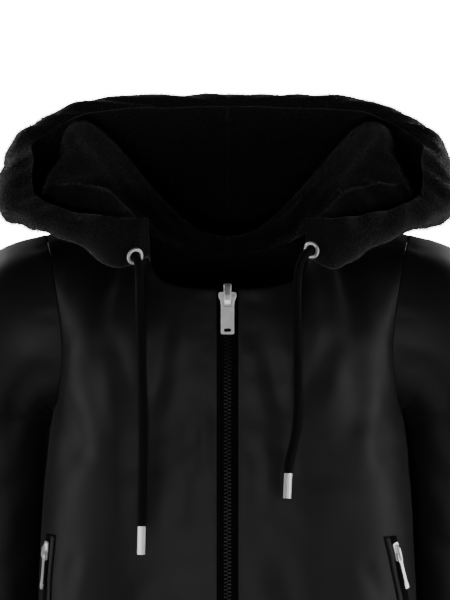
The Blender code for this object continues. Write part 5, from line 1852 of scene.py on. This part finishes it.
@dataclass
class Drawcord:
    """The two braided ends that hang from the eyelets."""

    diameter: float = 8.8
    straight: float = 2.6
    segments: int = 20
    rings: int = 150
    route_cuts: int = 8
    strand_depth: float = 0.35
    strands: int = 8
    braid_pitch: float = 22.0
    end_share: float = 0.9
    eyelets: tuple[Point, ...] = ((-92.3, -115.7, -20.5), (84.0, -112.6, -14.1))
    ends: tuple[CordEnd, ...] = (
        CordEnd(Side.RIGHT, (-92.7, -114.8, -20.3), (0.39, -0.89, -0.25),
                ((-89.6, -122.4, -25), (-88.1, -126, -37), (-87.5, -127, -64), (-86, -127.4, -114),
                 (-84.5, -128.4, -190), (-84.6, -129.4, -240), (-85.5, -130.2, -289)), 0.275),
        CordEnd(Side.LEFT, (84.4, -111.8, -14.0), (-0.5, -0.86, -0.15),
                ((78, -120.5, -18.5), (72.6, -125, -28), (69.8, -127, -42), (69.4, -127.6, -78),
                 (70.4, -129, -150), (67.4, -131, -200), (61.4, -132.4, -225), (60.4, -133, -236)),
                0.230),
    )

    def tube(self, path: Array) -> tuple[Array, Array, Array]:
        """A braided tube along a path.

        Args:
            path: its centreline.
        Returns:
            Points, faces and flat places.
        """
        tangent = unit(np.gradient(path, axis=0))
        side = unit(np.cross(tangent, np.array((0.0, 1.0, 0.0))))
        other = np.cross(side, tangent)
        turn = np.arange(self.segments) / self.segments * 2.0 * math.pi
        along = lengths_along(path)
        twist = 2.0 * math.pi * along[:, None] / self.braid_pitch
        strands = self.strands / 2.0
        braid = np.cos(strands * (turn[None] + twist)) * np.cos(strands * (turn[None] - twist))
        radius = self.diameter / 2.0 - self.strand_depth * (0.5 - 0.5 * braid)
        radius[[0, -1]] *= self.end_share
        ring = (np.cos(turn)[None, :, None] * side[:, None]
                + np.sin(turn)[None, :, None] * other[:, None])
        points = path[:, None] + radius[..., None] * ring
        rows = len(path)
        index = point_numbers(rows, self.segments, closed=True)
        faces = np.concatenate((grid_quads(index), cap_quads(index[0, :-1])[:, ::-1],
                                cap_quads(index[-1, :-1])))
        around = np.broadcast_to(turn[None] * self.diameter / 2.0, (rows, self.segments))
        length = np.broadcast_to(along[:, None], (rows, self.segments))
        chart = np.stack([around, length], axis=2).reshape(-1, 2)
        return points.reshape(-1, 3), faces, chart

    def dress(self, wardrobe: Wardrobe) -> None:
        """Makes both ends and hides their solids.

        Args:
            wardrobe: materials by name.
        """
        for end in self.ends:
            start = np.array(end.start)
            points = np.concatenate(([start, start + unit(np.array(end.facing)) * self.straight],
                                     np.array(end.route, float)))
            fine = cubic_through(points, shares((self.route_cuts,) * (len(points) - 1)))
            path = even_steps(fine, self.rings)
            mesh_points, faces, chart = self.tube(path)
            piece = mesh_object(f"braided_cord_{end.side.value}", mesh_points, faces,
                                wardrobe["cord"])
            add_chart(piece.data, chart)
            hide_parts(f"cord_{end.side.value}")
            log.info("%s cord: %.1f mm long", end.side.value, lengths_along(path)[-1])


# ---------------------------------------------------------------- studio
@dataclass
class Studio:
    """Camera, floor, backdrop light and lamps."""

    camera_place: Point = (-2.5, -2918.0, -64.0)
    camera_field: float = 600.0
    camera_distance: float = 2800.0
    floor_level: float = -640.0
    floor_reach: float = 4000.0
    floor_color: Point = (0.82, 0.82, 0.82)
    sky: float = 0.035
    backdrop: float = 16.0
    sensor: float = 36.0
    view_end: float = 50.0
    aim: Point = (0.0, 0.0, -100.0)
    floor_roughness: float = 0.9
    # Each lamp's place, size and power in watts: two in front, two beside and two behind.
    lamps: tuple[tuple[Point, float, float], ...] = (
        ((-250.0, -2700.0, -750.0), 900.0, 37.0), ((1900.0, -1700.0, -300.0), 1100.0, 4.0),
        ((-2300.0, -300.0, -250.0), 1300.0, 15.0), ((2300.0, -300.0, -250.0), 1300.0, 17.0),
        ((-1500.0, 1300.0, 800.0), 900.0, 36.0), ((1500.0, 1300.0, 800.0), 900.0, 50.0))

    def camera(self) -> None:
        """Places the camera level in front of the chest, with the photograph's field."""
        data = bpy.data.cameras.new("camera")
        data.sensor_fit = "VERTICAL"
        data.sensor_height = self.sensor
        data.lens = data.sensor_height * self.camera_distance / self.camera_field
        data.clip_end = self.view_end
        camera = bpy.data.objects.new("camera", data)
        camera.location = Vector(self.camera_place) * MM
        camera.rotation_euler = (math.pi / 2.0, 0.0, 0.0)
        bpy.context.scene.collection.objects.link(camera)
        bpy.context.scene.camera = camera

    def lights(self) -> None:
        """Soft lamps in front, beside and behind, and a plain white world."""
        for number, (place, size, power) in enumerate(self.lamps):
            data = bpy.data.lights.new(f"lamp_{number}", "AREA")
            data.energy = power
            data.size = size * MM
            lamp = bpy.data.objects.new(f"lamp_{number}", data)
            lamp.location = Vector(place) * MM
            aim = Vector(self.aim) * MM - lamp.location
            lamp.rotation_euler = aim.to_track_quat("-Z", "Y").to_euler()
            bpy.context.scene.collection.objects.link(lamp)
        world = bpy.data.worlds.new("studio")
        world.use_nodes = True
        nodes = Nodes(world.node_tree)
        seen = nodes.add("ShaderNodeLightPath").outputs["Is Camera Ray"]
        strength = nodes.add("ShaderNodeMapRange", {"Value": seen, "To Min": self.sky,
                                                    "To Max": self.backdrop})
        background = world.node_tree.nodes["Background"]
        background.inputs["Color"].default_value = (1.0, 1.0, 1.0, 1.0)
        world.node_tree.links.new(strength.outputs[0], background.inputs["Strength"])
        bpy.context.scene.world = world

    def floor(self) -> None:
        """A plain pale floor below the hem."""
        mesh = bpy.data.meshes.new("studio_floor")
        reach = self.floor_reach * MM
        level = self.floor_level * MM
        corners = [(-reach, -reach, level), (reach, -reach, level), (reach, reach, level),
                   (-reach, reach, level)]
        mesh.from_pydata(corners, [], [(0, 1, 2, 3)])
        material = bpy.data.materials.new("pale_floor")
        material.use_nodes = True
        shader = material.node_tree.nodes["Principled BSDF"]
        shader.inputs["Base Color"].default_value = (*self.floor_color, 1.0)
        shader.inputs["Roughness"].default_value = self.floor_roughness
        mesh.materials.append(material)
        floor = bpy.data.objects.new("studio_floor", mesh)
        bpy.context.scene.collection.objects.link(floor)

    def build(self) -> None:
        """Sets up the whole studio."""
        self.camera()
        self.lights()
        self.floor()


def polish_metal(material: Material) -> None:
    """Gives every metal node its finish."""
    for name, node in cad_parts.items():
        if name.startswith(METAL_NODES):
            node.data.materials.clear()
            node.data.materials.append(material)


def main() -> None:
    """Dresses the jacket."""
    logging.basicConfig(level=logging.INFO, format="%(message)s")
    Studio().build()
    log.info("studio done")
    effects = Effects()
    wardrobe = {name: finish.material(effects) for name, finish in FINISHES.items()}
    cord = Drawcord()
    cord.dress(wardrobe)
    shell, hood = Shell(), Hood()
    shell.shape(hood)
    shell.dress(wardrobe)
    RibBands().dress(shell, wardrobe)
    hood.dress(np.array(cord.eyelets), wardrobe)
    FrontZip().dress(shell, wardrobe)
    sewing = Sewing("topstitching")
    shell.topstitch(sewing)
    Pockets().dress(shell, sewing, wardrobe)
    sewing.build(Slot.SHELL, wardrobe["thread"])
    polish_metal(wardrobe["nickel"])
    log.info("metal polished")


if __name__ == "__main__":
    main()
